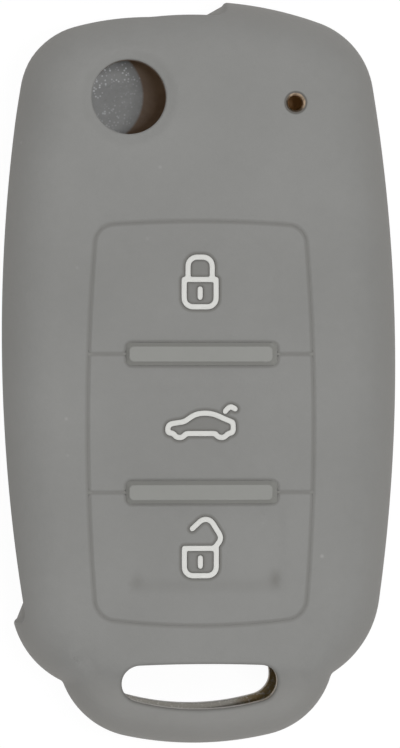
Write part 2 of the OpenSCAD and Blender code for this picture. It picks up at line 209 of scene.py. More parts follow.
def opening(width, side_y, low_y, high_y, side_r, high_r, low_r, high_corner, low_corner):
    """An opening that is the same on its right and left, by its places and its radii."""
    sides = [bowed([width / 2, side_y], side_r, RIGHT), bowed([0, high_y], high_r, UP),
             bowed([-width / 2, side_y], side_r, LEFT), bowed([0, low_y], low_r, DOWN)]
    return four_sided(sides, [high_corner, high_corner, low_corner, low_corner])


SLOT_SIDE_DROP = 1.9
slot_ring = opening(SLOT_W, SLOT_HIGH_Y - SLOT_SIDE_DROP, SLOT_LOW_Y, SLOT_HIGH_Y,
                    side_r=8, high_r=150, low_r=24, high_corner=1.75, low_corner=1.85)
print("slot rim has", len(slot_ring(0)), "points")

# %% The keypad's frame
pad_low, pad_high = (np.array(corner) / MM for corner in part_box("boot_pad"))
WEB_CLEAR = 0.245
PAD_GAP = 0.12
KEYPAD_W = 22.2
KEYPAD_TOP_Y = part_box("lock_pad")[1].y / MM + PAD_GAP
KEYPAD_LOW_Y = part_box("unlock_pad")[0].y / MM - PAD_GAP
UPPER_BAR_Y = pad_high[1] + WEB_CLEAR
LOWER_BAR_Y = pad_low[1] - WEB_CLEAR
keypad_side_y = (KEYPAD_TOP_Y + KEYPAD_LOW_Y) / 2
keypad_ring = opening(KEYPAD_W, keypad_side_y, KEYPAD_LOW_Y, KEYPAD_TOP_Y,
                      side_r=220, high_r=116, low_r=68, high_corner=1.9, low_corner=2.2)
print("keypad from y", round(KEYPAD_LOW_Y, 2), "to", round(KEYPAD_TOP_Y, 2), "bars at",
      round(UPPER_BAR_Y, 2), round(LOWER_BAR_Y, 2))

# %% [markdown]
# ## The rounded skin
# The edge between face and side is a superellipse: squarer than a circle, with no visible end,
# which a Bevel can't give, so its points are worked out. Two shares describe it, how far in and
# how far up, at a turn t from -1 at the back to 1 at the face. Towards the lobe the skin gets
# lower and its edge tighter, by one smooth step.

# %% Shape of the skin
def in_share(t):
    """How far in a point of the edge lies, as a share of the edge's width."""
    return 1 - np.cos(math.pi / 2 * t) ** (2 / EDGE_POWER)


def up_share(t):
    """How far up it lies, as a share of half the depth."""
    return np.sign(t) * abs(np.sin(math.pi / 2 * t)) ** (2 / EDGE_POWER)


def smooth(x):
    """A soft step from 0 to 1."""
    x = np.clip(x, 0, 1)
    return x * x * (3 - 2 * x)


def body_share(y):
    """1 on the body and 0 on the lobe."""
    return smooth(1 - (SLOT_HIGH_Y - y) / STEP_L)


def edge_width(y):
    return LOBE_EDGE_W + (EDGE_W - LOBE_EDGE_W) * body_share(y)


def half_depth(y):
    return (LOBE_DEPTH + (COVER_DEPTH - LOBE_DEPTH) * body_share(y)) / 2


class Profile:
    """Section through the rounded side, a skin's thickness inside, measured by its length v."""

    def __init__(self, skin, count=801):
        self.skin = skin
        self.t = np.linspace(0, 1, count)
        across = (EDGE_W - skin) * in_share(self.t)
        up = (COVER_DEPTH / 2 - skin) * up_share(self.t)
        self.v = np.concatenate([[0], np.cumsum(np.hypot(np.diff(across), np.diff(up)))])
        self.up = up

    def turn(self, v):
        return np.sign(v) * np.interp(abs(v), self.v, self.t)

    def at_height(self, height):
        return float(np.interp(height, self.up, self.v))

    def point(self, s, v):
        t = self.turn(np.asarray(v, float))
        edge = edge_width(outline.at(s)[:, 1])
        flat = outline.at(s, self.skin + (edge - self.skin) * in_share(t))
        z = MID_Z + (half_depth(flat[:, 1]) - self.skin) * up_share(t)
        return np.column_stack([flat, z])

    def normal(self, s, v, nudge=0.02):
        along = self.point(s + nudge, v) - self.point(s - nudge, v)
        up = self.point(s, v + nudge) - self.point(s, v - nudge)
        out = np.cross(along, up)
        return out / np.linalg.norm(out, axis=1)[:, None]


outside, inside = Profile(0.0), Profile(WALL)
print("half of the outer section is", round(outside.v[-1], 2), "mm long")

# %% [markdown]
# ## Filling a patch
# The face, with its holes, and the side, with its mouth, are triangulated on a plane and then
# lifted into place. Constrained Delaunay keeps the rims exact and its triangles even, where a
# Boolean would leave slivers that show in soft light. All patches share the points of their
# rims, so that the skin is closed once they are welded.

# %% Points on a plane
def is_inside(points, loop):
    """Which points lie inside a closed loop."""
    x, y = points[:, :1], points[:, 1:2]
    ax, ay = loop[:, 0], loop[:, 1]
    bx, by = np.roll(ax, -1), np.roll(ay, -1)
    with np.errstate(divide="ignore", invalid="ignore"):
        crosses = ((ay > y) != (by > y)) & (x < (bx - ax) * (y - ay) / (by - ay) + ax)
    return crosses.sum(axis=1) % 2 == 1


def distance_to(points, loop, chunk=2000):
    """Distance from each point to a closed loop of short segments."""
    a, b = loop, np.roll(loop, -1, axis=0)
    d = b - a
    out = []
    for part in np.array_split(points, max(1, len(points) // chunk)):
        w = part[:, None, :] - a
        share = np.clip((w * d).sum(axis=2) / (d * d).sum(axis=1), 0, 1)
        out.append(np.linalg.norm(w - share[..., None] * d, axis=2).min(axis=1))
    return np.concatenate(out)


def hex_grid(low, high, step):
    """Even points over a rectangle, in rows that are shifted by half a step."""
    rows = np.arange(low[1], high[1], step * math.sqrt(3) / 2)
    columns = np.arange(low[0], high[0], step)
    return np.vstack([np.column_stack([columns + step / 2 * (k % 2), np.full(len(columns), y)])
                      for k, y in enumerate(rows)])


def triangulate(points, loops, keep):
    """Triangles over the points that keep every loop, where keep says yes to their middles."""
    edges = [(loop[i - 1], loop[i]) for loop in loops for i in range(len(loop))]
    flat = [Vector((float(x), float(y))) for x, y in points]
    _, _, faces, origins, _, _ = delaunay_2d_cdt(flat, edges, [], 0, 1e-6)
    first = [origin[0] for origin in origins]
    triangles = np.array([[first[i] for i in face] for face in faces if len(face) == 3])
    a, b, c = (points[triangles[:, k]] for k in range(3))
    area = (b - a)[:, 0] * (c - a)[:, 1] - (b - a)[:, 1] * (c - a)[:, 0]
    triangles[area < 0] = triangles[area < 0][:, ::-1]
    solid = abs(area) > 1e-9
    return triangles[solid & keep(points[triangles].mean(axis=1))]


print("a grid of 1 mm on 10 x 10 mm has", len(hex_grid((0, 0), (10, 10), 1.0)), "points")


# %% A skin of patches
SHARP_FROM = math.radians(75)
WELD, TINY = 1e-7, 1e-8


class Skin:
    """Gathers patches, welds them and makes one closed mesh object. Each point also carries a share
    of painted shade, from 0 to 1, for the dark of grooves and recesses, which the finish reads as a point
    attribute."""

    def __init__(self):
        self.points, self.faces, self.finishes, self.painted_shades = [], [], [], []
        self.count = 0

    def patch(self, points, faces, finish=0, deep=0.0):
        self.faces += [[self.count + i for i in face] for face in np.asarray(faces).tolist()]
        self.finishes += [finish] * len(faces)
        self.points.append(np.asarray(points, float))
        self.painted_shades.append(np.broadcast_to(deep, len(points)))
        self.count += len(points)

    def wall(self, *rings, finish=0, deep=0.0):
        """A closed strip through rings of as many points."""
        n = len(rings[0])
        steps = [(i, (i + 1) % n) for i in range(n)]
        faces = [[row + a, row + b, row + n + b, row + n + a]
                 for row in range(0, n * (len(rings) - 1), n) for a, b in steps]
        self.patch(np.vstack(rings), faces, finish, deep)

    def piece(self, name, body, slot, *nodes):
        """The welded mesh as an object that rides on a body."""
        mesh = bpy.data.meshes.new(name)
        mesh.from_pydata((np.vstack(self.points) * MM).tolist(), [], self.faces)
        mesh.polygons.foreach_set("material_index", self.finishes)
        # Painted shade of grooves and recesses, one share per point
        mesh.attributes.new("deep", "FLOAT", "POINT").data.foreach_set("value", np.concatenate(self.painted_shades))
        work = bmesh.new()
        work.from_mesh(mesh)
        bmesh.ops.remove_doubles(work, verts=work.verts, dist=WELD)
        bmesh.ops.dissolve_degenerate(work, dist=TINY, edges=work.edges)
        bmesh.ops.recalc_face_normals(work, faces=work.faces)
        gaps = sum(1 for edge in work.edges if not edge.is_manifold)
        work.to_mesh(mesh)
        work.free()
        mesh.shade_smooth()
        mesh.set_sharp_from_angle(angle=SHARP_FROM)
        made = bpy.data.objects.new(name, mesh)
        bpy.context.scene.collection.objects.link(made)
        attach(made, body)
        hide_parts(*nodes)
        print(name, len(mesh.polygons), "faces,", gaps, "open edges")
        return made


# %% [markdown]
# ## Soft rims
# A rim of moulded silicone is never sharp. A Bevel needs even faces round a hole, and a filled
# face has none, so each rim is a quarter circle of a few rings: a ring lies at a distance from
# the hole's edge and has dropped by what the quarter circle gives there.

# %% Rings of a rim
ROUND = np.radians([90, 68, 45, 22, 0])


def rim(radius):
    """Distance from the edge and drop of each ring of a rounded rim, the edge first."""
    return list(zip(radius * (1 - np.sin(ROUND)), radius * (1 - np.cos(ROUND))))


def soft_rim(width, depth, steps=7):
    """The same for a rim that sinks in a gentle wave, as beside the grooves of the keypad."""
    share = np.linspace(0, 1, steps)
    return list(zip(width * share, depth * (1 + np.cos(math.pi * share)) / 2))


def circle_ring(centre, radius, count):
    """A function that gives a round rim at an inset."""
    turns = np.arange(count) * math.tau / count
    return lambda inset: np.array(centre) + (radius - inset) * unit(turns)


RELEASE_AT, RELEASE_R = (-7.0, 26.85), 3.63
LIGHT_AT, LIGHT_R = (9.3, 26.35), 0.75
OUTLINE_STEP = 0.12
release_ring = circle_ring(RELEASE_AT, RELEASE_R, 72)
light_ring = circle_ring(LIGHT_AT, LIGHT_R, 32)
fine_outline = outline.at(np.arange(0, outline.length, OUTLINE_STEP))
print("each rim has", len(ROUND), "rings")

# %% Height of the face
DISH_DEPTH, DISH_W = 0.34, 1.35
VALLEY_DEPTH, VALLEY_Y, VALLEY_W = 0.2, -29.75, 0.55
VALLEY_FROM_X, VALLEY_FADE = 6, 3


def level(points, skin):
    """How far the skin lies above the middle, up to its rounded edge."""
    y = points[:, 1]
    width = edge_width(y) - skin
    inward = np.clip((distance_to(points, fine_outline) - skin) / width, 0, 1)
    return (half_depth(y) - skin) * (1 - (1 - inward) ** EDGE_POWER) ** (1 / EDGE_POWER)


def face_height(points):
    """Height of the outer face, with the dish round the release hole and the lobe's valley."""
    from_hole = np.linalg.norm(points - RELEASE_AT, axis=1) - RELEASE_R
    dish = DISH_DEPTH * (1 - smooth(from_hole / DISH_W))
    valley = VALLEY_DEPTH * np.exp(-((points[:, 1] - VALLEY_Y) / VALLEY_W) ** 2)
    valley *= smooth((abs(points[:, 0]) - VALLEY_FROM_X) / VALLEY_FADE)
    return MID_Z + level(points, 0.0) - dish - valley


print("face at its middle:", round(float(face_height(np.array([[0.0, 20.0]]))[0]), 2), "mm")

# %% [markdown]
# ## The face and the back
# Both are plates that fall away softly to their edges, and the face has four holes. They could be
# cut from a block, but a fill of points keeps every rim exact. One function fills either skin,
# outer or inner. It takes the border that the side brings, the holes with their rims, and a
# height. Extra rings follow the dish round the release hole.

# %% Filling a face
# The last number is the painted shade at the bottom of a groove
GROOVE_DEPTH, GROOVE_RIM, GROOVE_PAINTED_SHADE = 0.045, 0.32, 0.3
BORDER_CLEAR, RIM_CLEAR, EXTRA_CLEAR = 0.6, 0.45, 0.4


def fill_face(skin, side_ring, holes, height, sign, step, extra=(), finish=0):
    """Adds a face inside the side's ring. Its holes are (ring function, rim, painted shade at the
    edge). A grid of points fills it, clear of the rings by a share of its step. Returns the holes' edges."""
    border = side_ring[:, :2]
    points, heights, loops, edges = [border], [side_ring[:, 2]], [np.arange(len(border))], []
    painted_shades = [np.zeros(len(border))]
    count = len(border)
    for ring, steps, tone in holes:
        for away, drop in steps:
            loop = ring(-away)
            points.append(loop)
            heights.append(height(loop) - sign * drop)
            # Painted shade on each ring of a rim, stronger as the ring drops
            painted_shades.append(np.full(len(loop), tone * math.sqrt(drop / steps[0][1])))
            loops.append(np.arange(count, count + len(loop)))
            count += len(loop)
        edges.append(np.column_stack([points[-len(steps)], heights[-len(steps)]]))
    points += extra
    heights += [height(loop) for loop in extra]
    grid = hex_grid(border.min(axis=0), border.max(axis=0), step)
    grid = grid[is_inside(grid, border)]
    grid = grid[distance_to(grid, border) > BORDER_CLEAR * step]
    for ring, steps, _ in holes:
        rim_ring = ring(-steps[-1][0])
        grid = grid[~is_inside(grid, rim_ring)]
        grid = grid[distance_to(grid, rim_ring) > RIM_CLEAR * step]
    for loop in extra:
        grid = grid[distance_to(grid, loop) > EXTRA_CLEAR * step]
    flat = np.vstack([*points, grid])
    deep = np.concatenate([*painted_shades, np.zeros(len(flat) - count)])

    def keep(middles):
        on_face = is_inside(middles, border)
        for ring, _, _ in holes:
            on_face &= ~is_inside(middles, ring(0.0))
        return on_face

    place = np.column_stack([flat, np.concatenate([*heights, height(grid)])])
    skin.patch(place, triangulate(flat, loops, keep), finish, deep)
    return edges


print("a groove is", GROOVE_DEPTH, "mm deep, with sides", GROOVE_RIM, "mm wide")

# %% [markdown]
# ## The side and the blade mouth
# The remote goes in through a long mouth in the side, where its blade swings out. A Boolean would
# cut it with a sharp and uneven edge, so the side is unrolled: its length round the outline lies
# across and its length over the rounded edge lies up. On that plane the mouth is a long rectangle
# with round corners. Its rim is rolled in along the skin's normal, and a lip joins the outer rim
# to the inner one.

# %% The mouth on the unrolled side
def place_at(x=None, y=None, step=0.02):
    """Place on the outline at an x of its upper half or at a y of its left half."""
    s = np.arange(0, outline.length, step)
    p = outline.at(s)
    axis, value, on_side = (0, x, p[:, 1] > 0) if y is None else (1, y, p[:, 0] < 0)
    return float(s[np.argmin(np.where(on_side, abs(p[:, axis] - value), np.inf))])


MOUTH_TOP_X, MOUTH_LOW_Y, MOUTH_H = 2.8, -24.8, 9.0
OUTER_CORNER, INNER_CORNER = 1.1, 0.9
INNER_TOP_INSET, INNER_LOW_INSET = 1.7, 1.8
mouth_top, mouth_low = place_at(x=MOUTH_TOP_X), place_at(y=MOUTH_LOW_Y)


def mouth_ring(first, last, half_h, corner, count=110, end_count=11):
    """The mouth's outline on the unrolled side, from its top end to its low end and back."""
    def at(inset):
        half, r = half_h - inset, corner - inset
        low, high = first + inset + r, last - inset - r
        turns = np.radians(np.linspace(0, 90, 7))
        along = np.linspace(low, high, count)
        across = np.linspace(r - half, half - r, end_count + 2)[1:-1]
        rows = [np.column_stack([along, np.full(count, -half)]),
                np.column_stack([high + r * np.sin(turns), r - half - r * np.cos(turns)])[1:],
                np.column_stack([np.full(end_count, high + r), across]),
                np.column_stack([high + r * np.cos(turns), half - r + r * np.sin(turns)])[:-1],
                np.column_stack([along[::-1], np.full(count, half)]),
                np.column_stack([low - r * np.sin(turns), half - r + r * np.cos(turns)])[1:],
                np.column_stack([np.full(end_count, low - r), -across]),
                np.column_stack([low - r * np.cos(turns), r - half - r * np.sin(turns)])[:-1]]
        return np.vstack(rows)

    return at


# %% Lips of the mouth
LIP_PLACES = [mouth_top, *(place_at(x=x) for x in (-5, -9, -13)),
              *(place_at(y=y) for y in (31, 25, 14, 4, -6, -16)), mouth_low]
FRONT_LIP = [14.35, 14.2, 13.5, 12.7, 11.75, 11.7, 12.2, 12.6, 12.95, 13.25, 13.5]
BACK_LIP = [3.8] * 6 + [3.7, 3.45, 3.25, 3.0, 2.7]


def bent(ring):
    """The same mouth with its two lips bent to the heights above, square to the skin."""
    half_turn = outside.turn(outside.at_height(MOUTH_H / 2))
    lips = [[outside.turn(outside.at_height(abs(z - MID_Z))) / half_turn for z in lip]
            for lip in (FRONT_LIP, BACK_LIP)]

    def at(inset):
        points = ring(inset)
        front_share, back_share = (np.interp(points[:, 0], LIP_PLACES, lip) for lip in lips)
        points[:, 1] *= np.where(points[:, 1] > 0, front_share, back_share)
        return points

    return at


def skin_length(profile):
    """Length over a profile from the middle to where the outer lip turns."""
    return float(np.interp(outside.turn(outside.at_height(MOUTH_H / 2)), profile.t, profile.v))


outer_mouth = bent(mouth_ring(mouth_top, mouth_low, skin_length(outside), OUTER_CORNER))
inner_mouth = bent(mouth_ring(mouth_top + INNER_TOP_INSET, mouth_low - INNER_LOW_INSET,
                              skin_length(inside), INNER_CORNER))
print("mouth is", round(mouth_low - mouth_top, 1), "mm long")


# %% Filling a side
FACE_TURN = 0.84
SIDE_CLEAR = 0.12


def fill_side(skin, profile, mouth, radius, sign, step, turn, rows, finish=0):
    """Adds a side, up to the turn where the face begins, with the mouth's rim of a radius.
    Returns its front border, its back border and the mouth's edge ring."""
    columns = np.append(outline.samples(step, turn), outline.length)
    top_v = float(np.interp(FACE_TURN, profile.t, profile.v))
    grid = np.array([(s, v) for v in np.linspace(-top_v, top_v, rows) for s in columns])
    n = len(columns)
    border = np.concatenate([np.arange(n), np.arange(2, rows) * n - 1 + n,
                             np.arange(n - 2, -1, -1) + (rows - 1) * n, np.arange(rows - 2, 0, -1) * n])
    rings = [mouth(-away) for away, _ in rim(radius)]
    clear = (~is_inside(grid, rings[-1])) & (distance_to(grid, rings[-1]) > SIDE_CLEAR)
    clear[border] = True
    kept = np.flatnonzero(clear)
    number = np.full(len(grid), -1)
    number[kept] = np.arange(len(kept))
    points = np.vstack([grid[kept], *rings])
    drop = np.concatenate([np.zeros(len(kept)), *(np.full(len(rings[0]), drop) for _, drop in rim(radius))])
    loops = [number[border]] + [len(kept) + k * len(rings[0]) + np.arange(len(rings[0]))
                                for k in range(len(rings))]
    triangles = triangulate(points, loops, lambda middles: ~is_inside(middles, rings[0]))
    place = profile.point(points[:, 0], points[:, 1])
    place -= sign * drop[:, None] * profile.normal(points[:, 0], points[:, 1])
    skin.patch(place, triangles, finish)
    front, back = (profile.point(columns[:-1], np.full(n - 1, v)) for v in (top_v, -top_v))
    return front, back, place[len(kept):len(kept) + len(rings[0])]


print("the side is filled over", round(100 * FACE_TURN), "percent of its turn")

# %% Holes of the sleeve
MATT, INNER = 0, 1
RELEASE_RIM, LIGHT_RIM, SLOT_RIM, INNER_RIM, BACK_SLOT_RIM = 0.22, 0.36, 0.4, 0.12, 0.35
# Painted shade on the rim of the key ring slot
SLOT_PAINTED_SHADE = 0.22
BACK_SLOT_DRAFT = 0.42
face_holes = [(release_ring, rim(RELEASE_RIM), 0.0), (light_ring, rim(LIGHT_RIM), 0.0),
              (slot_ring, rim(SLOT_RIM), SLOT_PAINTED_SHADE),
              (keypad_ring, soft_rim(GROOVE_RIM, GROOVE_DEPTH), GROOVE_PAINTED_SHADE)]
inner_holes = [(ring, rim(INNER_RIM), 0.0) for ring, _, _ in face_holes]
dish_rings = [release_ring(-away) for away in (0.4, 0.62, 0.85, 1.1, 1.35, 1.65)]


def back_slot_ring(inset):
    """The slot is a little larger at the back, as the mould's draft leaves it."""
    return slot_ring(inset - BACK_SLOT_DRAFT)


def flat_height(side, skin):
    """A function for the height of a skin on the face's side, 1, or on the back's side, -1."""
    return lambda points: MID_Z + side * level(points, skin)


print(len(face_holes), "holes in the face")

# %% Putting the sleeve together
sleeve = Skin()
front, back, outer_lip = fill_side(sleeve, outside, outer_mouth, radius=0.3, sign=1, step=0.6,
                                   turn=4, rows=29)
inner_front, inner_back, inner_lip = fill_side(sleeve, inside, inner_mouth, radius=0.25, sign=-1, step=1.2,
                                               turn=8, rows=19, finish=INNER)
edges = fill_face(sleeve, front, face_holes, face_height, sign=1, step=0.6, extra=dish_rings)
ceiling = fill_face(sleeve, inner_front, inner_holes, flat_height(1, WALL), sign=-1, step=1.3, finish=INNER)
back_edge, = fill_face(sleeve, back, [(back_slot_ring, rim(BACK_SLOT_RIM), 0.0)], flat_height(-1, 0.0),
                       sign=-1, step=1.2)
floor_edge, = fill_face(sleeve, inner_back, [(back_slot_ring, rim(INNER_RIM), 0.0)], flat_height(-1, WALL),
                        sign=1, step=1.0, finish=INNER)
# The holes' walls take the inside finish with its painted shade; the keypad frame's wall takes the grooves'
# painted shade
for outer, inner, finish in zip(edges, ceiling, (INNER, INNER, INNER, MATT)):
    sleeve.wall(outer, inner, finish=finish, deep=GROOVE_PAINTED_SHADE if finish == MATT else 0.0)
sleeve.wall(back_edge, floor_edge, finish=INNER)
sleeve.wall(outer_lip, (2 * outer_lip + inner_lip) / 3, (outer_lip + 2 * inner_lip) / 3, inner_lip)
sleeve_piece = sleeve.piece("sleeve_moulding", "sleeve", "sleeve_silicone", "sleeve")

# %% [markdown]
# ## Node expressions
# Finishes and repeated shapes are both trees of nodes. An expression is easier to read than a
# list of links, so a small class wraps a socket, and 1 - mask or 0.2 + 0.1 * noise adds its
# Math nodes by itself. One method makes every other node.

# %% Sockets in expressions
class Value:
    """A socket that adds Math nodes when it is part of an expression."""

    def __init__(self, maker, socket):
        self.maker, self.socket = maker, socket

    def _maths(self, operation, *values):
        return self.maker.node("ShaderNodeMath", {"operation": operation}, *values)["Value"]

    def __add__(self, other):
        return self._maths("ADD", self, other)

    def __sub__(self, other):
        return self._maths("SUBTRACT", self, other)

    def __rsub__(self, other):
        return self._maths("SUBTRACT", other, self)

    def __mul__(self, other):
        return self._maths("MULTIPLY", self, other)

    def __abs__(self):
        return self._maths("ABSOLUTE", self)

    def sign(self):
        return self._maths("SIGN", self)

    def clamped(self):
        return self.maker.node("ShaderNodeClamp", {}, self)["Result"]

    __radd__, __rmul__ = __add__, __mul__


print("a value can be added, subtracted, multiplied and clamped")


# %% Trees and finishes
class Nodes:
    """A node tree whose nodes come from one method."""

    def __init__(self, tree):
        self.tree = tree

    def node(self, kind, settings, *values, **named):
        """Adds a node: its type, its settings, then its sockets by order or by name."""
        made = self.tree.nodes.new(kind)
        for key, value in settings.items():
            if key == "stops":
                for stop, (at, tone) in zip(made.color_ramp.elements, value):
                    stop.position, stop.color = at, tone
            elif key == "choices":
                for _ in range(value - len(made.index_switch_items)):
                    made.index_switch_items.new()
            else:
                setattr(made, key, value)
        for key, value in [*enumerate(values), *named.items()]:
            self.set(made.inputs[key if isinstance(key, int) else key.replace("_", " ")], value)
        return {socket.name: Value(self, socket) for socket in made.outputs if socket.enabled}

    def set(self, socket, value):
        """Links a value, or each of a list of them, or sets a plain number, colour or vector."""
        if isinstance(value, list):
            for one in value:
                self.set(socket, one)
        elif isinstance(value, Value):
            self.tree.links.new(value.socket, socket)
        elif value is not None:
            socket.default_value = value


class Finish(Nodes):
    """A material that is built by its nodes."""

    def __init__(self, name):
        self.material = bpy.data.materials.new(name)
        self.material.use_nodes = True
        super().__init__(self.material.node_tree)
        self.shader = self.tree.nodes["Principled BSDF"]
        self.place = self.node("ShaderNodeTexCoord", {})["Object"]

    def shade(self, **sockets):
        """Sets the shader's sockets by their names and returns the material."""
        for key, value in sockets.items():
            self.set(self.shader.inputs[key.replace("_", " ")], value)
        return self.material

    def noise(self, scale, detail=2.0, rough=0.5):
        return self.node("ShaderNodeTexNoise", {}, Vector=self.place, Scale=scale, Detail=detail,
                         Roughness=rough)["Fac"]

    def millimetres(self):
        """Where a point is on the cover, as three numbers."""
        axes = self.node("ShaderNodeSeparateXYZ", {}, self.place)
        return [axes[axis] * (1 / MM) for axis in "XYZ"]

    def away_from(self, x, y):
        """Distance in millimetres from an upright line."""
        flat = self.node("ShaderNodeVectorMath", {"operation": "MULTIPLY"}, self.place, (1, 1, 0))["Vector"]
        spot = (x * MM, y * MM, 0)
        return self.node("ShaderNodeVectorMath", {"operation": "DISTANCE"}, flat, spot)["Value"] * (1 / MM)

    def ramp(self, value, dark, light):
        """From dark to light over the middle part that most noise values lie in."""
        return self.node("ShaderNodeValToRGB", {"stops": [(0.32, dark), (0.68, light)]}, value)["Color"]

    def blended(self, share, a, b):
        """Colour a, which turns into colour b as the share goes from 0 to 1."""
        return self.node("ShaderNodeMix", {"data_type": "RGBA"}, share, *[None] * 5, a, b)["Result"]


def colour(r, g, b):
    return (r, g, b, 1.0)


print("white is", colour(1, 1, 1))

# %% [markdown]
# ## Matt silicone
# The real surface is an even grey, a little cloudy, with dust specks and a very fine grain that
# keeps its shine broad. On the sleeve a painted warmth where it curves down stands in for light
# that soaks into its edges. A picture would need a flat layout of every piece, so cloud and specks
# are drawn by noise in object space, at their true size. Grooves, recesses and bevels are painted
# darker and browner as shade, and the mesh itself says where by a point attribute.

# %% Grey silicone
CLOUD, PATCHES, SPECKS, FINE, GRAIN = 70.0, 160.0, 420.0, 900.0, 2600.0
GRAIN_DEPTH = 0.06 * MM
# The brown is painted shade for grooves, recesses and bevels; the pale grey is dust
PAINTED_SHADE_BROWN, DUST_GREY = colour(0.105, 0.1, 0.088), colour(0.5, 0.5, 0.48)


def grained(finish, scale, strength):
    """A normal with the fine grain that a blasted mould leaves."""
    relief = finish.noise(scale, 2.0, 0.6)
    return finish.node("ShaderNodeBump", {}, Strength=strength, Distance=GRAIN_DEPTH, Height=relief)["Normal"]


def silicone(name, dark, light, roughness, grain, tint=lambda finish, tone: tone):
    """A grey or white with cloud, painted shade, dust and grain. The tint changes its tone before the dust.
    """
    finish = Finish(name)
    fine = finish.noise(FINE, 3.0, 0.6)
    base = finish.ramp(finish.noise(CLOUD, 3.0) * 0.75 + fine * 0.25, dark, light)
    # Painted shade: darker and browner where the mesh's point attribute says
    deep = finish.node("ShaderNodeAttribute", {"attribute_name": "deep"})["Fac"]
    base = tint(finish, finish.blended(deep, base, PAINTED_SHADE_BROWN))
    cells = finish.node("ShaderNodeTexVoronoi", {}, Vector=finish.place, Scale=SPECKS)
    dust = (1 - cells["Distance"] * 9.0).clamped() * (finish.noise(PATCHES) * 9.0 - 5.2).clamped()
    tone = finish.blended(dust * 0.35, base, DUST_GREY)
    return finish.shade(Base_Color=tone, Roughness=roughness + fine * 0.12,
                        Normal=grained(finish, GRAIN, grain), Specular_IOR_Level=0.2)


GREY_DARK, GREY_LIGHT = colour(0.213, 0.213, 0.205), colour(0.239, 0.239, 0.231)
BAR_DARK, BAR_LIGHT = colour(0.24, 0.242, 0.228), colour(0.266, 0.267, 0.253)
WHITE_DARK, WHITE_LIGHT = colour(0.6, 0.6, 0.575), colour(0.66, 0.66, 0.635)
pad_grey = silicone("pad_silicone_matt", GREY_DARK, GREY_LIGHT, 0.56, 0.5)
bar_grey = silicone("bar_silicone_matt", BAR_DARK, BAR_LIGHT, 0.54, 0.4)
symbol_white = silicone("symbol_white_matt", WHITE_DARK, WHITE_LIGHT, 0.5, 0.3)
print("finishes of the pads:", pad_grey.name, bar_grey.name, symbol_white.name)

# %% Silicone of the sleeve
# The light hole's countersink is painted: a dark brim and brown as shade, beige on its upper right as light.
# The warm grey is painted light that soaks into the edges
BRIM_R, SINK_R = 1.05, 1.0
WARM_GREY, BRIM_SHADE_BROWN = colour(0.226, 0.217, 0.201), colour(0.05, 0.042, 0.033)
SINK_SHADE_BROWN, SINK_LIT_BEIGE = colour(0.06, 0.045, 0.03), colour(0.5, 0.38, 0.27)


def sleeve_tint(finish, tone):
    """Painted warmth on the edges for light that soaks in, and in the light hole's countersink painted shade,
    brown with a darker brim, and painted light, beige, on its upper right side.
    """
    x, y, z = finish.millimetres()
    # Painted warmth where the skin curves down, for light soaking into the edges
    tone = finish.blended(((COVER_DEPTH - 0.4 - z) * 0.2).clamped() * 0.8, tone, WARM_GREY)
    from_light = finish.away_from(*LIGHT_AT)
    # Painted shade on the brim and in the countersink, painted light on its upper right side, broken by
    # specks
    brim = (1 - abs(from_light - BRIM_R) * 6.5).clamped() * 0.75
    speckle = (finish.noise(2200.0) * 5.0 - 2.0).clamped()
    lit_upper_right = ((x - LIGHT_AT[0]) * 0.8 + (y - LIGHT_AT[1]) * 1.2 + 0.45).clamped()
    sink = ((SINK_R - from_light) * 12.0).clamped()
    tone = finish.blended(sink, tone, SINK_SHADE_BROWN)
    tone = finish.blended(sink * lit_upper_right * (speckle * 0.6 + 0.35), tone, SINK_LIT_BEIGE)
    return finish.blended(brim, tone, BRIM_SHADE_BROWN)


sleeve_grey = silicone("sleeve_silicone_matt", GREY_DARK, GREY_LIGHT, 0.56, 0.5, sleeve_tint)
print("sleeve outside:", sleeve_grey.name)

# %% [markdown]
# ## Inside of the cover
# Inside, the silicone is painted dark brown as shade, for light that has gone through the skin.
# A round patch of floor under the release hole is painted a cool grey as lamp light, with painted
# glints, and the cut edge of the key ring slot is painted a paler grey as light at its left, turning
# to painted brown shade at its right end. Under the light hole the floor and the hole's wall are
# painted a brighter brown as the little light that goes through. Light that soaks through the mesh
# would give this too, but slowly and with noise, so masks in millimetres say where each tone lies.

# %% Masks inside
# The patch under the release hole and the floor under the light hole are painted light; the slot's right end
# is painted shade
INSIDE_LOW_Z, SLOT_TOP_Y, PAINTED_LIT_CUT_TO_X = 4.0, -27.5, 7.0
PAINTED_LIT_AT, PAINTED_LIT_R = (-9.83, 28.08), 5.2
BELOW_LIGHT_AT, BELOW_LIGHT_R = (10.85, 27.5), 2.4
LIGHT_WALL_R = 1.3


def inside_masks(finish):
    """Where the painted lit patch, the slot's cut edge, its painted lit part and the light hole's painted
    parts are.
    """
    x, y, z = finish.millimetres()
    on_floor = (INSIDE_LOW_Z - z).clamped()
    painted_lit = ((PAINTED_LIT_R - finish.away_from(*PAINTED_LIT_AT)) * 4.0).clamped() * on_floor
    upper_left = ((y - x) * 0.3 - 10.2).clamped()
    cut = (SLOT_TOP_Y - y).clamped()
    painted_lit_cut = ((PAINTED_LIT_CUT_TO_X - x) * 0.35).clamped()
    light_wall = (LIGHT_WALL_R - finish.away_from(*LIGHT_AT)).clamped()
    below_light = (BELOW_LIGHT_R - finish.away_from(*BELOW_LIGHT_AT)).clamped() * on_floor
    return painted_lit, upper_left, cut, painted_lit_cut, light_wall, below_light


print("the bare floor reaches", PAINTED_LIT_R, "mm from", PAINTED_LIT_AT)


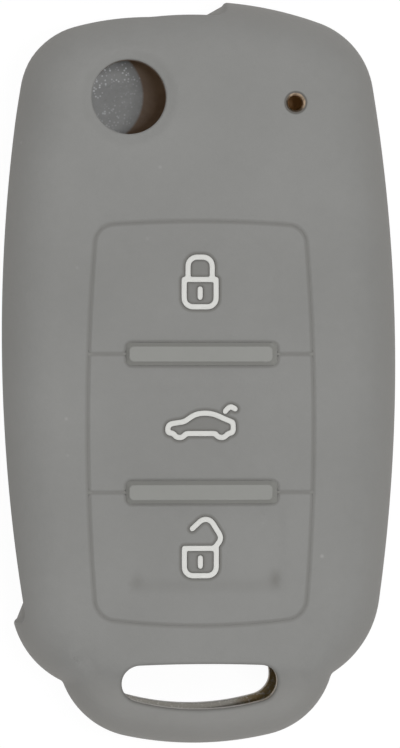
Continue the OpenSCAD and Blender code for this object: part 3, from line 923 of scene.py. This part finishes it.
# %% Silicone inside
def inside_silicone(name):
    """Silicone painted brown as shade, with painted light and glints laid over it where the masks say."""
    finish = Finish(name)
    painted_lit, upper_left, cut, painted_lit_cut, light_wall, below_light = inside_masks(finish)
    fine = finish.noise(FINE, 3.0, 0.6)
    # Painted shade: the brown of all inner surfaces. Painted light: the cool grey of the patch under the
    # release hole
    tone = finish.ramp(fine, colour(0.105, 0.06, 0.031), colour(0.135, 0.082, 0.044))
    painted_lit_grey = finish.ramp(fine, colour(0.185, 0.187, 0.185), colour(0.225, 0.228, 0.226))
    # Painted glints on the lit patch, stronger towards its upper left
    cells = finish.node("ShaderNodeTexVoronoi", {}, Vector=finish.place, Scale=3000.0)
    painted_glints = (1 - cells["Distance"] * 2.6).clamped() * (finish.noise(420.0) * 7.0 - 2.9).clamped()
    painted_glints *= (upper_left * 0.55 + 0.35) * painted_lit
    flecks = (finish.noise(3200.0) * 8.0 - 4.3).clamped() * cut
    # Over the painted brown shade: the lit patch and its glints, the slot's cut edge as painted light at its
    # left and painted brown shade at its right, lighter flecks, and painted light, brown, on the light hole's
    # wall and the floor below it
    for mask, colour_there in ((painted_lit, painted_lit_grey), (painted_glints, colour(0.75, 0.78, 0.8)),
                               (cut * painted_lit_cut, colour(0.5, 0.475, 0.43)),
                               (cut * (1 - painted_lit_cut), colour(0.36, 0.26, 0.12)),
                               (flecks * 0.6, colour(0.72, 0.7, 0.66)),
                               (light_wall, colour(0.5, 0.29, 0.13)),
                               (below_light, colour(0.7, 0.34, 0.11))):
        tone = finish.blended(mask, tone, colour_there)
    return finish.shade(Base_Color=tone, Roughness=0.36 + fine * 0.1, Normal=grained(finish, 1800.0, 0.35),
                        Specular_IOR_Level=0.3)


inner_grey = inside_silicone("inner_silicone_gloss")
for material in (sleeve_grey, inner_grey):
    sleeve_piece.data.materials.append(material)
print("sleeve inside:", inner_grey.name)

# %% [markdown]
# ## Divider bars
# A bar rises between two pads with bevels all round, the one at its right end longer. A web on
# each side carries it to the frame, and a plug fills the place where the web's groove meets the
# frame's. Both bars are alike. Copies of a modelled bar would do, but then its sizes are fixed,
# so a Geometry Nodes tree makes one from named inputs and puts it in two places. A bar is a
# stack of rounded rectangles: every ring of a cylinder is pushed out to the size that a bar has
# at that height.

# %% Sizes of a bar: its left end, right end and half width
BAR_FOOT = (-7.32, 7.52, 1.12)
BAR_TOP = (-7.02, 6.98, 0.74)
BAR_SIDES, BAR_LEVELS = 32, 5
WEB_FROM_X, WEB_SHORT, WEB_SINK, PLUG_SINK, PLUG_SHORT = 7.0, 0.12, 0.02, 0.01, 0.02
bar_sizes = {
    "Foot Length": BAR_FOOT[1] - BAR_FOOT[0], "Foot Width": 2 * BAR_FOOT[2],
    "Top Length": BAR_TOP[1] - BAR_TOP[0], "Top Width": 2 * BAR_TOP[2],
    "Foot Middle": (BAR_FOOT[0] + BAR_FOOT[1]) / 2, "Top Middle": (BAR_TOP[0] + BAR_TOP[1]) / 2,
    "Corner": 0.46, "Rise": BAR_RISE, "Root": 1.4, "Groove": GROOVE_DEPTH, "Face": COVER_DEPTH,
    "Web Reach": KEYPAD_W / 2 + 0.2, "Web Width": 0.26, "Plug Length": 0.36, "Plug Width": 0.44,
    "Upper Bar": UPPER_BAR_Y, "Lower Bar": LOWER_BAR_Y}
print(len(bar_sizes), "sizes for the bars")

# %% A tree for the bars
bar_tree = bpy.data.node_groups.new("divider_bars", "GeometryNodeTree")
for name in bar_sizes:
    bar_tree.interface.new_socket(name, in_out="INPUT", socket_type="NodeSocketFloat")
bar_tree.interface.new_socket("Finish", in_out="INPUT", socket_type="NodeSocketMaterial")
bar_tree.interface.new_socket("Bars", in_out="OUTPUT", socket_type="NodeSocketGeometry")
maker = Nodes(bar_tree)
size = maker.node("NodeGroupInput", {})


def vector(x, y, z):
    return maker.node("ShaderNodeCombineXYZ", {}, x, y, z)["Vector"]


def by_index(index, values):
    """The value that belongs to an index, counted from 0."""
    settings = {"data_type": "FLOAT", "choices": len(values)}
    return maker.node("GeometryNodeIndexSwitch", settings, index, *values)["Output"]


def between(foot, top, share):
    """A size between those of the bar's foot and top."""
    return size[foot] + (size[top] - size[foot]) * share


def changed(kind, geometry, **sockets):
    """What a node of a kind makes of a geometry."""
    return maker.node(kind, {}, Geometry=geometry, **sockets)["Geometry"]


def with_painted_shade(geometry, deep):
    """Stores the painted shade of grooves and bevels at each point."""
    settings = {"data_type": "FLOAT", "domain": "POINT"}
    return maker.node("GeometryNodeStoreNamedAttribute", settings, Geometry=geometry, Name="deep",
                      Value=deep)["Geometry"]


print("bar tree has", len(bar_tree.interface.items_tree), "inputs and outputs")

# %% The bar, level by level
tube = maker.node("GeometryNodeMeshCylinder", {"fill_type": "NGON"}, Vertices=BAR_SIDES,
                  Side_Segments=BAR_LEVELS, Radius=1.0, Depth=1.0)["Mesh"]
tube = changed("GeometryNodeTransform", tube, Rotation=(0, 0, math.pi / BAR_SIDES))
axes = maker.node("ShaderNodeSeparateXYZ", {}, maker.node("GeometryNodeInputPosition", {})["Position"])
level_up = (axes["Z"] + 0.5) * float(BAR_LEVELS)
bar_level = maker.node("FunctionNodeFloatToInt", {"rounding_mode": "ROUND"}, level_up)["Integer"]
share = by_index(bar_level, [0.0, 0.0, 0.2, 0.95, 1.0, 1.0])
shrink = by_index(bar_level, [0.0, 0.0, 0.0, 0.0, 0.012, 0.06])
rise = by_index(bar_level, [0 - size["Root"], 0 - size["Groove"], 0.0, size["Rise"] - 0.06,
                            size["Rise"] - 0.022, size["Rise"]])
half_l = between("Foot Length", "Top Length", share) * 0.5 - shrink - size["Corner"]
half_w = between("Foot Width", "Top Width", share) * 0.5 - shrink - size["Corner"]
x = between("Foot Middle", "Top Middle", share) + axes["X"] * size["Corner"] + axes["X"].sign() * half_l
y = axes["Y"] * size["Corner"] + axes["Y"].sign() * half_w
# Painted shade on the bar's foot and bevels, none on its top
tube = with_painted_shade(tube, by_index(bar_level, [0.2, 0.2, 0.28, 0.28, 0.0, 0.0]))
place = vector(x, y, size["Face"] + rise)
bar = changed("GeometryNodeSetPosition", tube, Position=place)
facing = maker.node("ShaderNodeSeparateXYZ", {}, maker.node("GeometryNodeInputNormal", {})["Normal"])["Z"]
less = {"data_type": "FLOAT", "operation": "LESS_THAN"}
curved = maker.node("FunctionNodeCompare", less, abs(facing), 0.999)["Result"]
bar = changed("GeometryNodeSetShadeSmooth", bar, Selection=curved, Shade_Smooth=True)
print("bar tree has", len(bar_tree.nodes), "nodes so far")

# %% Webs, plugs, places and finish
web_l = size["Web Reach"] - WEB_FROM_X
web_h = WALL - WEB_SHORT - size["Groove"]
web_z = size["Face"] - size["Groove"] - WEB_SINK - web_h * 0.5
plug_l = size["Plug Length"]
webs = []
for length, width, x, z in ((web_l, size["Web Width"], web_l * 0.5 + WEB_FROM_X, web_z),
                            (plug_l, size["Plug Width"], size["Web Reach"] - PLUG_SHORT - plug_l * 0.5,
                             web_z - PLUG_SINK)):
    web = maker.node("GeometryNodeMeshCube", {}, Size=vector(length, width, web_h))["Mesh"]
    for side in (-1.0, 1.0):
        webs.append(changed("GeometryNodeTransform", web, Translation=vector(x * side, 0.0, z)))
# The webs carry the grooves' painted shade
webs = with_painted_shade(changed("GeometryNodeJoinGeometry", webs), GROOVE_PAINTED_SHADE)
one = changed("GeometryNodeJoinGeometry", [bar, webs])
places = maker.node("GeometryNodeMeshLine", {"mode": "END_POINTS"}, Count=2)["Mesh"]
bar_y = by_index(maker.node("GeometryNodeInputIndex", {})["Index"], [size["Upper Bar"], size["Lower Bar"]])
places = changed("GeometryNodeSetPosition", places, Position=vector(0.0, bar_y, 0.0))
both = maker.node("GeometryNodeInstanceOnPoints", {}, Points=places, Instance=one)["Instances"]
both = changed("GeometryNodeRealizeInstances", both)
both = changed("GeometryNodeTransform", both, Scale=(MM, MM, MM))
both = changed("GeometryNodeSetMaterial", both, Material=size["Finish"])
maker.node("NodeGroupOutput", {}, both)
print("bar tree has", len(bar_tree.nodes), "nodes")


# %% Turning the tree into a piece
def plain_mesh(name, tree, inputs):
    """Runs a tree on an empty mesh and keeps what it makes."""
    made = bpy.data.objects.new(name, bpy.data.meshes.new(name))
    bpy.context.scene.collection.objects.link(made)
    modifier = made.modifiers.new(name, "NODES")
    modifier.node_group = tree
    for item in tree.interface.items_tree:
        if item.name in inputs:
            modifier[item.identifier] = inputs[item.name]
    ready = made.evaluated_get(bpy.context.evaluated_depsgraph_get())
    mesh = bpy.data.meshes.new_from_object(ready)
    made.modifiers.clear()
    made.data = mesh
    return made


divider_bars = plain_mesh("divider_bars", bar_tree, {**bar_sizes, "Finish": bar_grey})
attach(divider_bars, "sleeve")
bar_corner = [round(v / MM, 2) for v in divider_bars.bound_box[0]]
print("bars:", len(divider_bars.data.polygons), "faces, from", bar_corner)

# %% [markdown]
# ## Symbols
# Each white line is a filling of even width that follows a path, with round ends. A curve with a
# bevel would give a round cord, and a picture would have no thickness. So the outline of such a
# line is found by joining a round-ended strip for every step of the path. The same outline cuts
# the recess in the pad and shapes the filling, so the two fit with a hair's gap.

# %% Round corners
def arc_points(centre, radius, first, last, steps=8):
    """Points of an arc between two angles in degrees."""
    return [tuple(np.array(centre) + radius * unit(math.radians(a))) for a in np.linspace(first, last, steps)]


def rounded(points, radii, steps=6):
    """A loop whose corners with a radius are replaced by arcs."""
    out = []
    for i, (corner, radius) in enumerate(zip(points, radii)):
        if radius == 0:
            out.append(corner)
            continue
        a = points[i - 1] - corner
        b = points[(i + 1) % len(points)] - corner
        a, b = a / np.linalg.norm(a), b / np.linalg.norm(b)
        half = math.acos(np.clip(a @ b, -1, 1)) / 2
        middle = corner + (a + b) / np.linalg.norm(a + b) * radius / math.sin(half)
        first = heading(corner + a * radius / math.tan(half) - middle)
        last = heading(corner + b * radius / math.tan(half) - middle)
        last = first + math.remainder(last - first, math.tau)
        out += list(middle + radius * unit(np.linspace(first, last, steps)))
    return np.array(out)


def softened(path, times=2):
    """A path whose corners are cut again and again, which rounds them."""
    for _ in range(times):
        path = [path[0], *((a[0] + (b[0] - a[0]) * k, a[1] + (b[1] - a[1]) * k)
                           for a, b in zip(path, path[1:]) for k in (0.25, 0.75)), path[-1]]
    return path


print("a corner softened twice has", len(softened([(0, 0), (1, 0), (1, 1)])), "points")

# %% Padlocks
LINE_W = 0.53
CASE_W, CASE_H, CASE_R = 3.66, 3.2, 1.1
SHACKLE_W, SHACKLE_LEG, SHACKLE_R = 2.9, 1.0, 0.88
OPEN_SHACKLE, OPEN_RADII = [(1.33, 1.3), (2.14, 2.31), (0.69, 4.63), (-0.8, 3.25)], [0, 0.75, 0.83, 0]
KEYHOLE_L = 1.36


def case_path():
    """The padlock's case, square above and round below."""
    x, y, r = (CASE_W - LINE_W) / 2, (CASE_H - LINE_W) / 2, CASE_R - LINE_W / 2
    left_corner = arc_points((r - x, r - y), r, 180, 270)
    right_corner = arc_points((x - r, r - y), r, 270, 360)
    return [(x, y), (-x, y)] + left_corner + right_corner + [(x, y)]


def shackle_path():
    """The closed shackle, from its right foot over the top to its left one."""
    x, y, r = (SHACKLE_W - LINE_W) / 2, (CASE_H - LINE_W) / 2, SHACKLE_R
    top = y + SHACKLE_LEG + x
    return rounded(np.array([(x, y), (x, top), (-x, top), (-x, y)]), [0, r, r, 0], 9)


def open_shackle_path():
    """The shackle swung open about its right foot, with its left leg free."""
    return rounded(np.array(OPEN_SHACKLE), OPEN_RADII, 9)


keyhole_path = [(0, (LINE_W - KEYHOLE_L) / 2), (0, (KEYHOLE_L - LINE_W) / 2)]
print("shackle path has", len(shackle_path()), "points")

# %% The car and its lid, in shares of the car's length
CAR_L = 6.5
WHEEL_X, WHEEL_Y, WHEEL_R = 0.316, -0.055, 0.098
WHEEL_SWEEP = (207, 333, 9)
ROOF = [(0.492, -0.03), (0.49, 0.05), (0.482, 0.08), (0.442, 0.094), (0.354, 0.131), (0.24, 0.186),
        (0.141, 0.211), (0.041, 0.216), (-0.059, 0.202), (-0.146, 0.158), (-0.222, 0.102),
        (-0.272, 0.082), (-0.372, 0.068), (-0.462, 0.05), (-0.488, 0.02), (-0.498, -0.04),
        (-0.49, -0.07), (-0.468, -0.083), (-0.425, -0.085)]
FLOOR_PAN = [(-0.19, -0.091), (0.2, -0.091)]
BUMPER = [(0.435, -0.088), (0.472, -0.078), (0.488, -0.055), (0.492, -0.03)]
LID = [(0.37, 0.24), (0.41, 0.291), (0.46, 0.317), (0.522, 0.278)]
front_wheel, rear_wheel = (arc_points((x, WHEEL_Y), WHEEL_R, *WHEEL_SWEEP) for x in (-WHEEL_X, WHEEL_X))
car_shares = softened(ROOF, 1) + front_wheel + FLOOR_PAN + rear_wheel + BUMPER
car_path, lid_path = ([(CAR_L * x, CAR_L * y) for x, y in shares] for shares in (car_shares, softened(LID)))
print("car path has", len(car_path), "points")


# %% Outline of a line that follows paths
def strip(a, b, half, steps=9):
    """A round-ended strip between two points."""
    a, b = np.array(a, float), np.array(b, float)
    facing = math.degrees(heading(b - a))
    return (arc_points(b, half, facing - 90, facing + 90, steps)
            + arc_points(a, half, facing + 90, facing + 270, steps))


def joined_outlines(shapes):
    """Loops round the union of overlapping shapes. A dict keeps its edges in one order."""
    points, faces = [], []
    for shape in shapes:
        faces.append(list(range(len(points), len(points) + len(shape))))
        points += [Vector((float(x), float(y))) for x, y in shape]
    verts, _, cells, _, _, owners = delaunay_2d_cdt(points, [], faces, 1, 1e-5)
    directed = {edge: True for cell, owner in zip(cells, owners) if owner
                for edge in zip(cell, cell[1:] + cell[:1])}
    rim_next = {a: b for a, b in directed if (b, a) not in directed}
    loops = []
    while rim_next:
        start, here = next(iter(rim_next.items()))
        loop = [start]
        del rim_next[start]
        while here != start and here in rim_next:
            loop.append(here)
            here = rim_next.pop(here)
        loops.append(np.array([tuple(verts[i]) for i in loop]))
    return [loop for loop in loops if len(loop) > 8]


def even_loop(loop, step=0.07, rounds=3):
    """The same loop with even steps and slightly softened corners."""
    closed = np.vstack([loop, loop[:1]])
    length = np.concatenate([[0], np.cumsum(np.linalg.norm(np.diff(closed, axis=0), axis=1))])
    at = np.linspace(0, length[-1], max(12, int(length[-1] / step)), endpoint=False)
    even = np.column_stack([np.interp(at, length, closed[:, k]) for k in (0, 1)])
    for _ in range(rounds):
        even = (np.roll(even, 1, axis=0) + 2 * even + np.roll(even, -1, axis=0)) / 4
    return even


def line_loops(paths, at, wider=0.0):
    """The outlines of a symbol at its place on the face."""
    strips = [strip(a, b, LINE_W / 2 + wider) for path in paths for a, b in zip(path, path[1:])]
    return [even_loop(loop) + np.array(at) for loop in joined_outlines(strips)]


def pushed(loop, away):
    """A loop moved to its right, which is outwards from the filling on an anticlockwise one."""
    ahead, behind = np.roll(loop, -1, axis=0), np.roll(loop, 1, axis=0)
    along = ahead - behind
    along /= np.linalg.norm(along, axis=1)[:, None]
    return loop + away * np.column_stack([along[:, 1], -along[:, 0]])


lock_at = (-0.07, (KEYPAD_TOP_Y + UPPER_BAR_Y) / 2 - 0.55)
boot_at = (-0.02, (UPPER_BAR_Y + LOWER_BAR_Y) / 2 - 0.42)
unlock_at = (-0.05, (LOWER_BAR_Y + KEYPAD_LOW_Y) / 2 - 0.29)
symbol_paths = {
    "lock_padlock": ([case_path(), shackle_path()], lock_at),
    "lock_keyhole": ([keyhole_path], lock_at),
    "boot_car": ([car_path], boot_at),
    "boot_lid": ([lid_path], boot_at),
    "unlock_padlock": ([case_path(), open_shackle_path()], unlock_at),
    "unlock_keyhole": ([keyhole_path], unlock_at)}
symbols = {name: line_loops(*path) for name, path in symbol_paths.items()}
print({name: [len(loop) for loop in loops] for name, loops in symbols.items()})

# %% [markdown]
# ## Pads
# A pad is a plate with rounded edges that fits between the frame, the webs and the bars. It
# could be a part of the sleeve's face, but it has to move, so it is a piece of its own. Its top
# has a shallow place for the finger. A small flange under its edge closes the gap, because on
# the real cover a thin web runs all round the pad. Below it is the pip that meets the button.

# %% Loops and flat ends
def lift(points, z):
    """Flat points at one height, or each at its own."""
    return np.column_stack([points, np.broadcast_to(z, len(points))])


def numbered(loops):
    """The numbers of the points of loops that follow one another."""
    starts = np.cumsum([0] + [len(loop) for loop in loops])
    return [np.arange(a, b) for a, b in zip(starts, starts[1:])]


def is_between(points, loops):
    """Which points lie inside an odd number of loops, so inside a loop but not in its holes."""
    return sum(is_inside(points, loop).astype(int) for loop in loops) % 2 == 1


def flat_end(skin, loops, z, step=None):
    """A flat end between loops, with a grid of points on it where a step is given."""
    flat = np.vstack(loops)
    if step:
        grid = hex_grid(flat.min(axis=0), flat.max(axis=0), step)
        grid = grid[is_between(grid, loops)]
        flat = np.vstack([flat, grid[distance_to(grid, loops[0]) > 0.5 * step]])
    triangles = triangulate(flat, numbered(loops), lambda middles: is_between(middles, loops))
    skin.patch(lift(flat, z), triangles)


print("loops of 3 and 4 points are numbered", [len(part) for part in numbered([[0] * 3, [0] * 4])])

# %% Outline of a pad
WEB_HALF, BAR_CLEAR = 0.07, 0.07
PAD_CORNER, NOTCH_CORNER = 0.25, 0.58
CORNER_ROOM = 0.7


def pad_outline(low_bar, high_bar):
    """The pad between two bars, or between a bar and the end of the frame, where one is None."""
    ring = keypad_ring(PAD_GAP)
    low_y = -np.inf if low_bar is None else low_bar + WEB_HALF + CORNER_ROOM
    high_y = np.inf if high_bar is None else high_bar - WEB_HALF - CORNER_ROOM
    notch_left, notch_right = BAR_FOOT[0] - BAR_CLEAR, BAR_FOOT[1] + BAR_CLEAR
    notch_y = BAR_FOOT[2] + BAR_CLEAR
    is_right = ring[:, 0] > 0

    def side_x(y, side):
        rows = ring[is_right == (side == 1)]
        rows = rows[np.argsort(rows[:, 1])]
        return float(np.interp(y, rows[:, 1], rows[:, 0]))

    def up_or_down(side):
        """The frame's points up the right side, 1, or down the left side, -1."""
        rows = ring[(is_right == (side == 1)) & (ring[:, 1] > low_y) & (ring[:, 1] < high_y)]
        rows = rows[np.argsort(np.arctan2(side * (rows[:, 1] - keypad_side_y), side * rows[:, 0]))]
        return [(*p, 0) for p in rows]

    def along_bar(bar, side):
        """Below a bar from right to left, 1, or above one from left to right, -1."""
        if bar is None:
            return []
        first, last = (notch_right, notch_left)[::side]
        y, deep_y = bar - side * WEB_HALF, bar - side * notch_y
        return [(side_x(y, side), y, PAD_CORNER), (first, y, PAD_CORNER), (first, deep_y, NOTCH_CORNER),
                (last, deep_y, NOTCH_CORNER), (last, y, PAD_CORNER), (side_x(y, -side), y, PAD_CORNER)]

    corners = np.array(up_or_down(1) + along_bar(high_bar, 1) + up_or_down(-1) + along_bar(low_bar, -1))
    return even_loop(rounded(corners[:, :2], corners[:, 2]), 0.14, 1)


pad_loops = {"lock": pad_outline(UPPER_BAR_Y, None), "boot": pad_outline(LOWER_BAR_Y, UPPER_BAR_Y),
             "unlock": pad_outline(None, LOWER_BAR_Y)}
print({name: len(loop) for name, loop in pad_loops.items()})

# %% Tops with recesses
FINGER_DEPTH = 0.14


def pad_height(points, centre, half_w, half_l, soft):
    """Top of a pad with a soft-edged rectangular dish for the finger."""
    away = np.maximum(abs(points[:, 0] - centre[0]) - half_w, abs(points[:, 1] - centre[1]) - half_l)
    return COVER_DEPTH - FINGER_DEPTH * (1 - smooth((away / soft + 1) / 2))


def gap_to(points, others):
    """Distance from each point to the nearest of the others."""
    return np.array([np.hypot(*(others - p).T).min() for p in points])


def plate(skin, height, rings, keep, step, extra_shade=lambda points: np.zeros(len(points))):
    """Adds a top. rings are (points, drop, painted shade) that follow the border or a symbol."""
    flat = np.vstack([points for points, _, _ in rings])
    z = np.concatenate([height(points) - drop for points, drop, _ in rings])
    deep = np.concatenate([np.full(len(points), deep) for points, _, deep in rings])
    grid = hex_grid(flat.min(axis=0), flat.max(axis=0), step)
    grid = grid[keep(grid)]
    grid = grid[gap_to(grid, flat) > 0.6 * step]
    points = np.vstack([flat, grid])
    deep = np.maximum(np.concatenate([deep, np.zeros(len(grid))]), extra_shade(points))
    triangles = triangulate(points, numbered([ring for ring, _, _ in rings]), keep)
    skin.patch(lift(points, np.concatenate([z, height(grid)])), triangles, deep=deep)


print("a finger place is", FINGER_DEPTH, "mm deep")

# %% Painted shade at the dish's edge
DISH_SHADE_X, DISH_SHADE_Y, DISH_SHADE_HALF = 0.4, -20.8, 7.4
DISH_SHADE_CORNERS = [(6.9, -20.2, 0.4), (-6.6, -20.4, 0.2)]


def dish_edge_shade(points):
    """Painted shade along the low edge and in the low corners of the third pad's dish."""
    x, y = points[:, 0] - DISH_SHADE_X, points[:, 1]
    edge = 0.12 * np.exp(-((y - DISH_SHADE_Y) / 0.6) ** 2) * (abs(x) < DISH_SHADE_HALF)
    return edge + sum(tone * np.exp(-((x - cx) / 0.5) ** 2 - ((y - cy) / 0.75) ** 2)
                      for cx, cy, tone in DISH_SHADE_CORNERS)


print(len(DISH_SHADE_CORNERS), "worn corners")

# %% Recesses and under side
# Round each symbol the pad's rim and the recess's walls are painted darker as shade
SYMBOL_SINK, RECESS_DROP, RECESS_PAINTED_SHADE = 0.4, 0.07, 0.55
RECESS_Z = COVER_DEPTH - SYMBOL_SINK - 0.1
GROOVE_Z, PAD_LOW_Z = COVER_DEPTH - GROOVE_DEPTH, COVER_DEPTH - WALL
FLANGE_SLACK = 0.008
PIP_R, PIP_STEP = 2.5, 0.8
PIP_STEPS = [(0.0, 0.0), (0.02, 0.5), (0.1, 0.64), (0.3, 0.7)]


def add_recesses(pad, recess, height):
    """Walls and floor of the recess that a symbol fills, the walls with painted shade."""
    for loop in recess:
        pad.wall(lift(loop, height(loop) - RECESS_DROP), lift(loop, RECESS_Z), deep=RECESS_PAINTED_SHADE)
    flat_end(pad, recess, RECESS_Z)


def add_under_side(pad, border, pip_at, height):
    """The pad's side with its flange, its flat under side and the pip; the side has the grooves' painted
    shade.
    """
    on_frame = abs(distance_to(border, keypad_ring(0.0)) - PAD_GAP) < PAD_GAP / 2
    flange = pushed(border, (np.where(on_frame, PAD_GAP, WEB_HALF) - FLANGE_SLACK)[:, None])
    pad.wall(lift(border, height(border) - GROOVE_DEPTH), lift(border, GROOVE_Z - 0.01),
             lift(flange, GROOVE_Z - 0.015), lift(flange, PAD_LOW_Z), deep=GROOVE_PAINTED_SHADE)
    pip = circle_ring(pip_at, PIP_R, 40)
    flat_end(pad, [flange, pip(0.0)], PAD_LOW_Z)
    pad.wall(*[lift(pip(inset), PAD_LOW_Z - drop) for inset, drop in PIP_STEPS])
    last_inset, last_drop = PIP_STEPS[-1]
    flat_end(pad, [pip(last_inset)], PAD_LOW_Z - last_drop, PIP_STEP)


print("pads are", WALL, "mm thick, with a pip of", PIP_STEPS[-1][1], "mm")

# %% Making a pad
# Inside each symbol's outer outline the pad is painted darker as shade
SYMBOL_GAP, RECESS_EDGE, ENCLOSED_PAINTED_SHADE = 0.05, 0.3, 0.25
PAD_EDGE, PAD_STEP = 0.22, 0.42
symbol_places = {"lock": lock_at, "boot": boot_at, "unlock": unlock_at}


def make_pad(name, body, dish, symbol_names):
    """A pad with recesses for its symbols. Returns the piece and the height of its top."""
    pad, border, at = Skin(), pad_loops[body], symbol_places[body]
    paths = [path for symbol in symbol_names for path in symbol_paths[symbol][0]]
    around = [(line_loops(paths, at, SYMBOL_GAP + away), drop)
              for away, drop in soft_rim(RECESS_EDGE, RECESS_DROP, 4)]
    recess = around[0][0]
    enclosed = max(recess, key=len)
    # Painted shade on the border's rings and round the recesses, stronger as they drop
    rings = [(pushed(border, -away), drop, GROOVE_PAINTED_SHADE * math.sqrt(drop / GROOVE_DEPTH))
             for away, drop in soft_rim(PAD_EDGE, GROOVE_DEPTH)]
    rings += [(loop, drop, RECESS_PAINTED_SHADE * math.sqrt(drop / RECESS_DROP))
              for loops, drop in around for loop in loops]

    def height(points):
        return pad_height(points, *dish)

    # Painted shade along the dish's low edge and inside the symbol's outline
    plate(pad, height, rings, lambda p: is_inside(p, border) & ~is_between(p, recess), PAD_STEP,
          lambda p: dish_edge_shade(p) + ENCLOSED_PAINTED_SHADE * is_inside(p, enclosed))
    add_recesses(pad, recess, height)
    add_under_side(pad, border, (0, at[1]), height)
    return pad.piece(name, body + "_button", "pad_silicone", body + "_pad"), height


print("recesses are", SYMBOL_GAP, "mm wider than their fillings")

# %% Three pads: the middle of each dish, its half width and half length, its softness
pad_pieces, pad_tops = {}, {}
for body, dish, names in [
        ("lock", ((0, 8.6), 7.6, 3.6, 0.9), ["lock_padlock", "lock_keyhole"]),
        ("boot", ((0, -4.9), 7.6, 3.2, 0.9), ["boot_car", "boot_lid"]),
        ("unlock", ((0.4, -17.4), 7.6, 3.9, 0.45), ["unlock_padlock", "unlock_keyhole"])]:
    pad_pieces[body], pad_tops[body] = make_pad(body + "_pad_skin", body, dish, names)

# %% Making the white fillings
FILLING_RIM, FILLING_STEP = 0.09, 0.16


def make_filling(name, body):
    """The white filling of one recess."""
    filling, loops, height = Skin(), symbols[name], pad_tops[body]
    rings = [(pushed(loop, -away), drop, 0.0) for loop in loops for away, drop in rim(FILLING_RIM)]
    plate(filling, height, rings, lambda p: is_between(p, loops), FILLING_STEP)
    for loop in loops:
        filling.wall(lift(loop, height(loop) - FILLING_RIM), lift(loop, RECESS_Z))
    flat_end(filling, loops, RECESS_Z)
    return filling.piece(name + "_filling", body + "_button", "symbol_white", name)


fillings = [make_filling(name, name.split("_")[0]) for name in symbols]
for piece in pad_pieces.values():
    piece.data.materials.append(pad_grey)
for piece in fillings:
    piece.data.materials.append(symbol_white)

# %% [markdown]
# ## Floor, light and camera
# The photograph is taken in even white light. A narrow lamp above, a little to the right, throws
# the shadow in the release hole, and two broad lamps light the slopes of the two ends. The white
# ground glows for the camera alone, because more light on the cover would wash out its grey. The
# camera stands a little to the left of the middle, a third of a metre above.

# %% Floor
FLOOR_REACH, FLOOR_Z, FLOOR_GLOW, GLOW_SHARE = 3.0, -0.0001, 1.03, 0.93
floor_mesh = bpy.data.meshes.new("floor")
corners = [(x * FLOOR_REACH, y * FLOOR_REACH, 0) for x, y in ((-1, -1), (1, -1), (1, 1), (-1, 1))]
floor_mesh.from_pydata(corners, [], [(0, 1, 2, 3)])
floor = bpy.data.objects.new("floor", floor_mesh)
bpy.context.scene.collection.objects.link(floor)
floor.location.z = FLOOR_Z
floor_finish = Finish("floor_white")
seen = floor_finish.node("ShaderNodeLightPath", {})
glow = floor_finish.node("ShaderNodeEmission", {}, Color=colour(1, 1, 1), Strength=FLOOR_GLOW)["Emission"]
floor_finish.shade(Base_Color=colour(0.8, 0.8, 0.8), Roughness=0.9)
rays = seen["Is Camera Ray"] + seen["Is Glossy Ray"] + seen["Is Transmission Ray"]
how_much = rays.clamped() * GLOW_SHARE
lit = Value(floor_finish, floor_finish.shader.outputs["BSDF"])
mixed = floor_finish.node("ShaderNodeMixShader", {}, how_much, lit, glow)["Shader"]
floor_finish.set(floor_finish.tree.nodes["Material Output"].inputs["Surface"], mixed)
floor_mesh.materials.append(floor_finish.material)
print("floor glows with", FLOOR_GLOW, "for the camera")

# %% World and lamps
WORLD_STRENGTH, LAMP_POWER, END_POWER = 0.6, 0.36, 0.26
scene = bpy.context.scene
world = bpy.data.worlds.new("studio")
world.use_nodes = True
scene.world = world
background = world.node_tree.nodes["Background"]
background.inputs["Color"].default_value = colour(1, 1, 1)
background.inputs["Strength"].default_value = WORLD_STRENGTH
scene.view_settings.view_transform = "Standard"


def area_lamp(name, power, width, length, at):
    """A rectangular lamp that faces the middle of the cover."""
    data = bpy.data.lights.new(name, "AREA")
    data.shape, data.size, data.size_y, data.energy = "RECTANGLE", width, length, power
    made = bpy.data.objects.new(name, data)
    made.location = at
    made.rotation_euler = (Vector(at) - Vector((0, 0, MID_Z * MM))).to_track_quat("Z", "Y").to_euler()
    scene.collection.objects.link(made)
    return made


lamps = [area_lamp("key_lamp", LAMP_POWER, 0.005, 0.07, (0.027, 0.002, 0.354)),
         area_lamp("top_lamp", END_POWER, 0.2, 0.2, (0.07, 0.35, 0.28)),
         area_lamp("low_lamp", END_POWER, 0.2, 0.2, (0.07, -0.35, 0.28))]
print("lamps:", [lamp.name for lamp in lamps])

# %% Camera
CAMERA_AT = Vector((-0.0264, -0.00016, 0.354))
LOOK_AT = Vector((0.00055, -0.0002, MID_Z * MM))
VIEW_HEIGHT, SENSOR_W = 0.0748, 36.0
camera_data = bpy.data.cameras.new("camera")
camera_data.sensor_width = SENSOR_W
camera_data.lens = SENSOR_W * (CAMERA_AT - LOOK_AT).length / VIEW_HEIGHT
camera = bpy.data.objects.new("camera", camera_data)
camera.location = CAMERA_AT
back_axis = (CAMERA_AT - LOOK_AT).normalized()
across_axis = Vector((0, 1, 0)).cross(back_axis).normalized()
camera.rotation_euler = Matrix((across_axis, back_axis.cross(across_axis), back_axis)).transposed().to_euler()
scene.collection.objects.link(camera)
scene.camera = camera
print("camera lens is", round(camera_data.lens, 1), "mm")
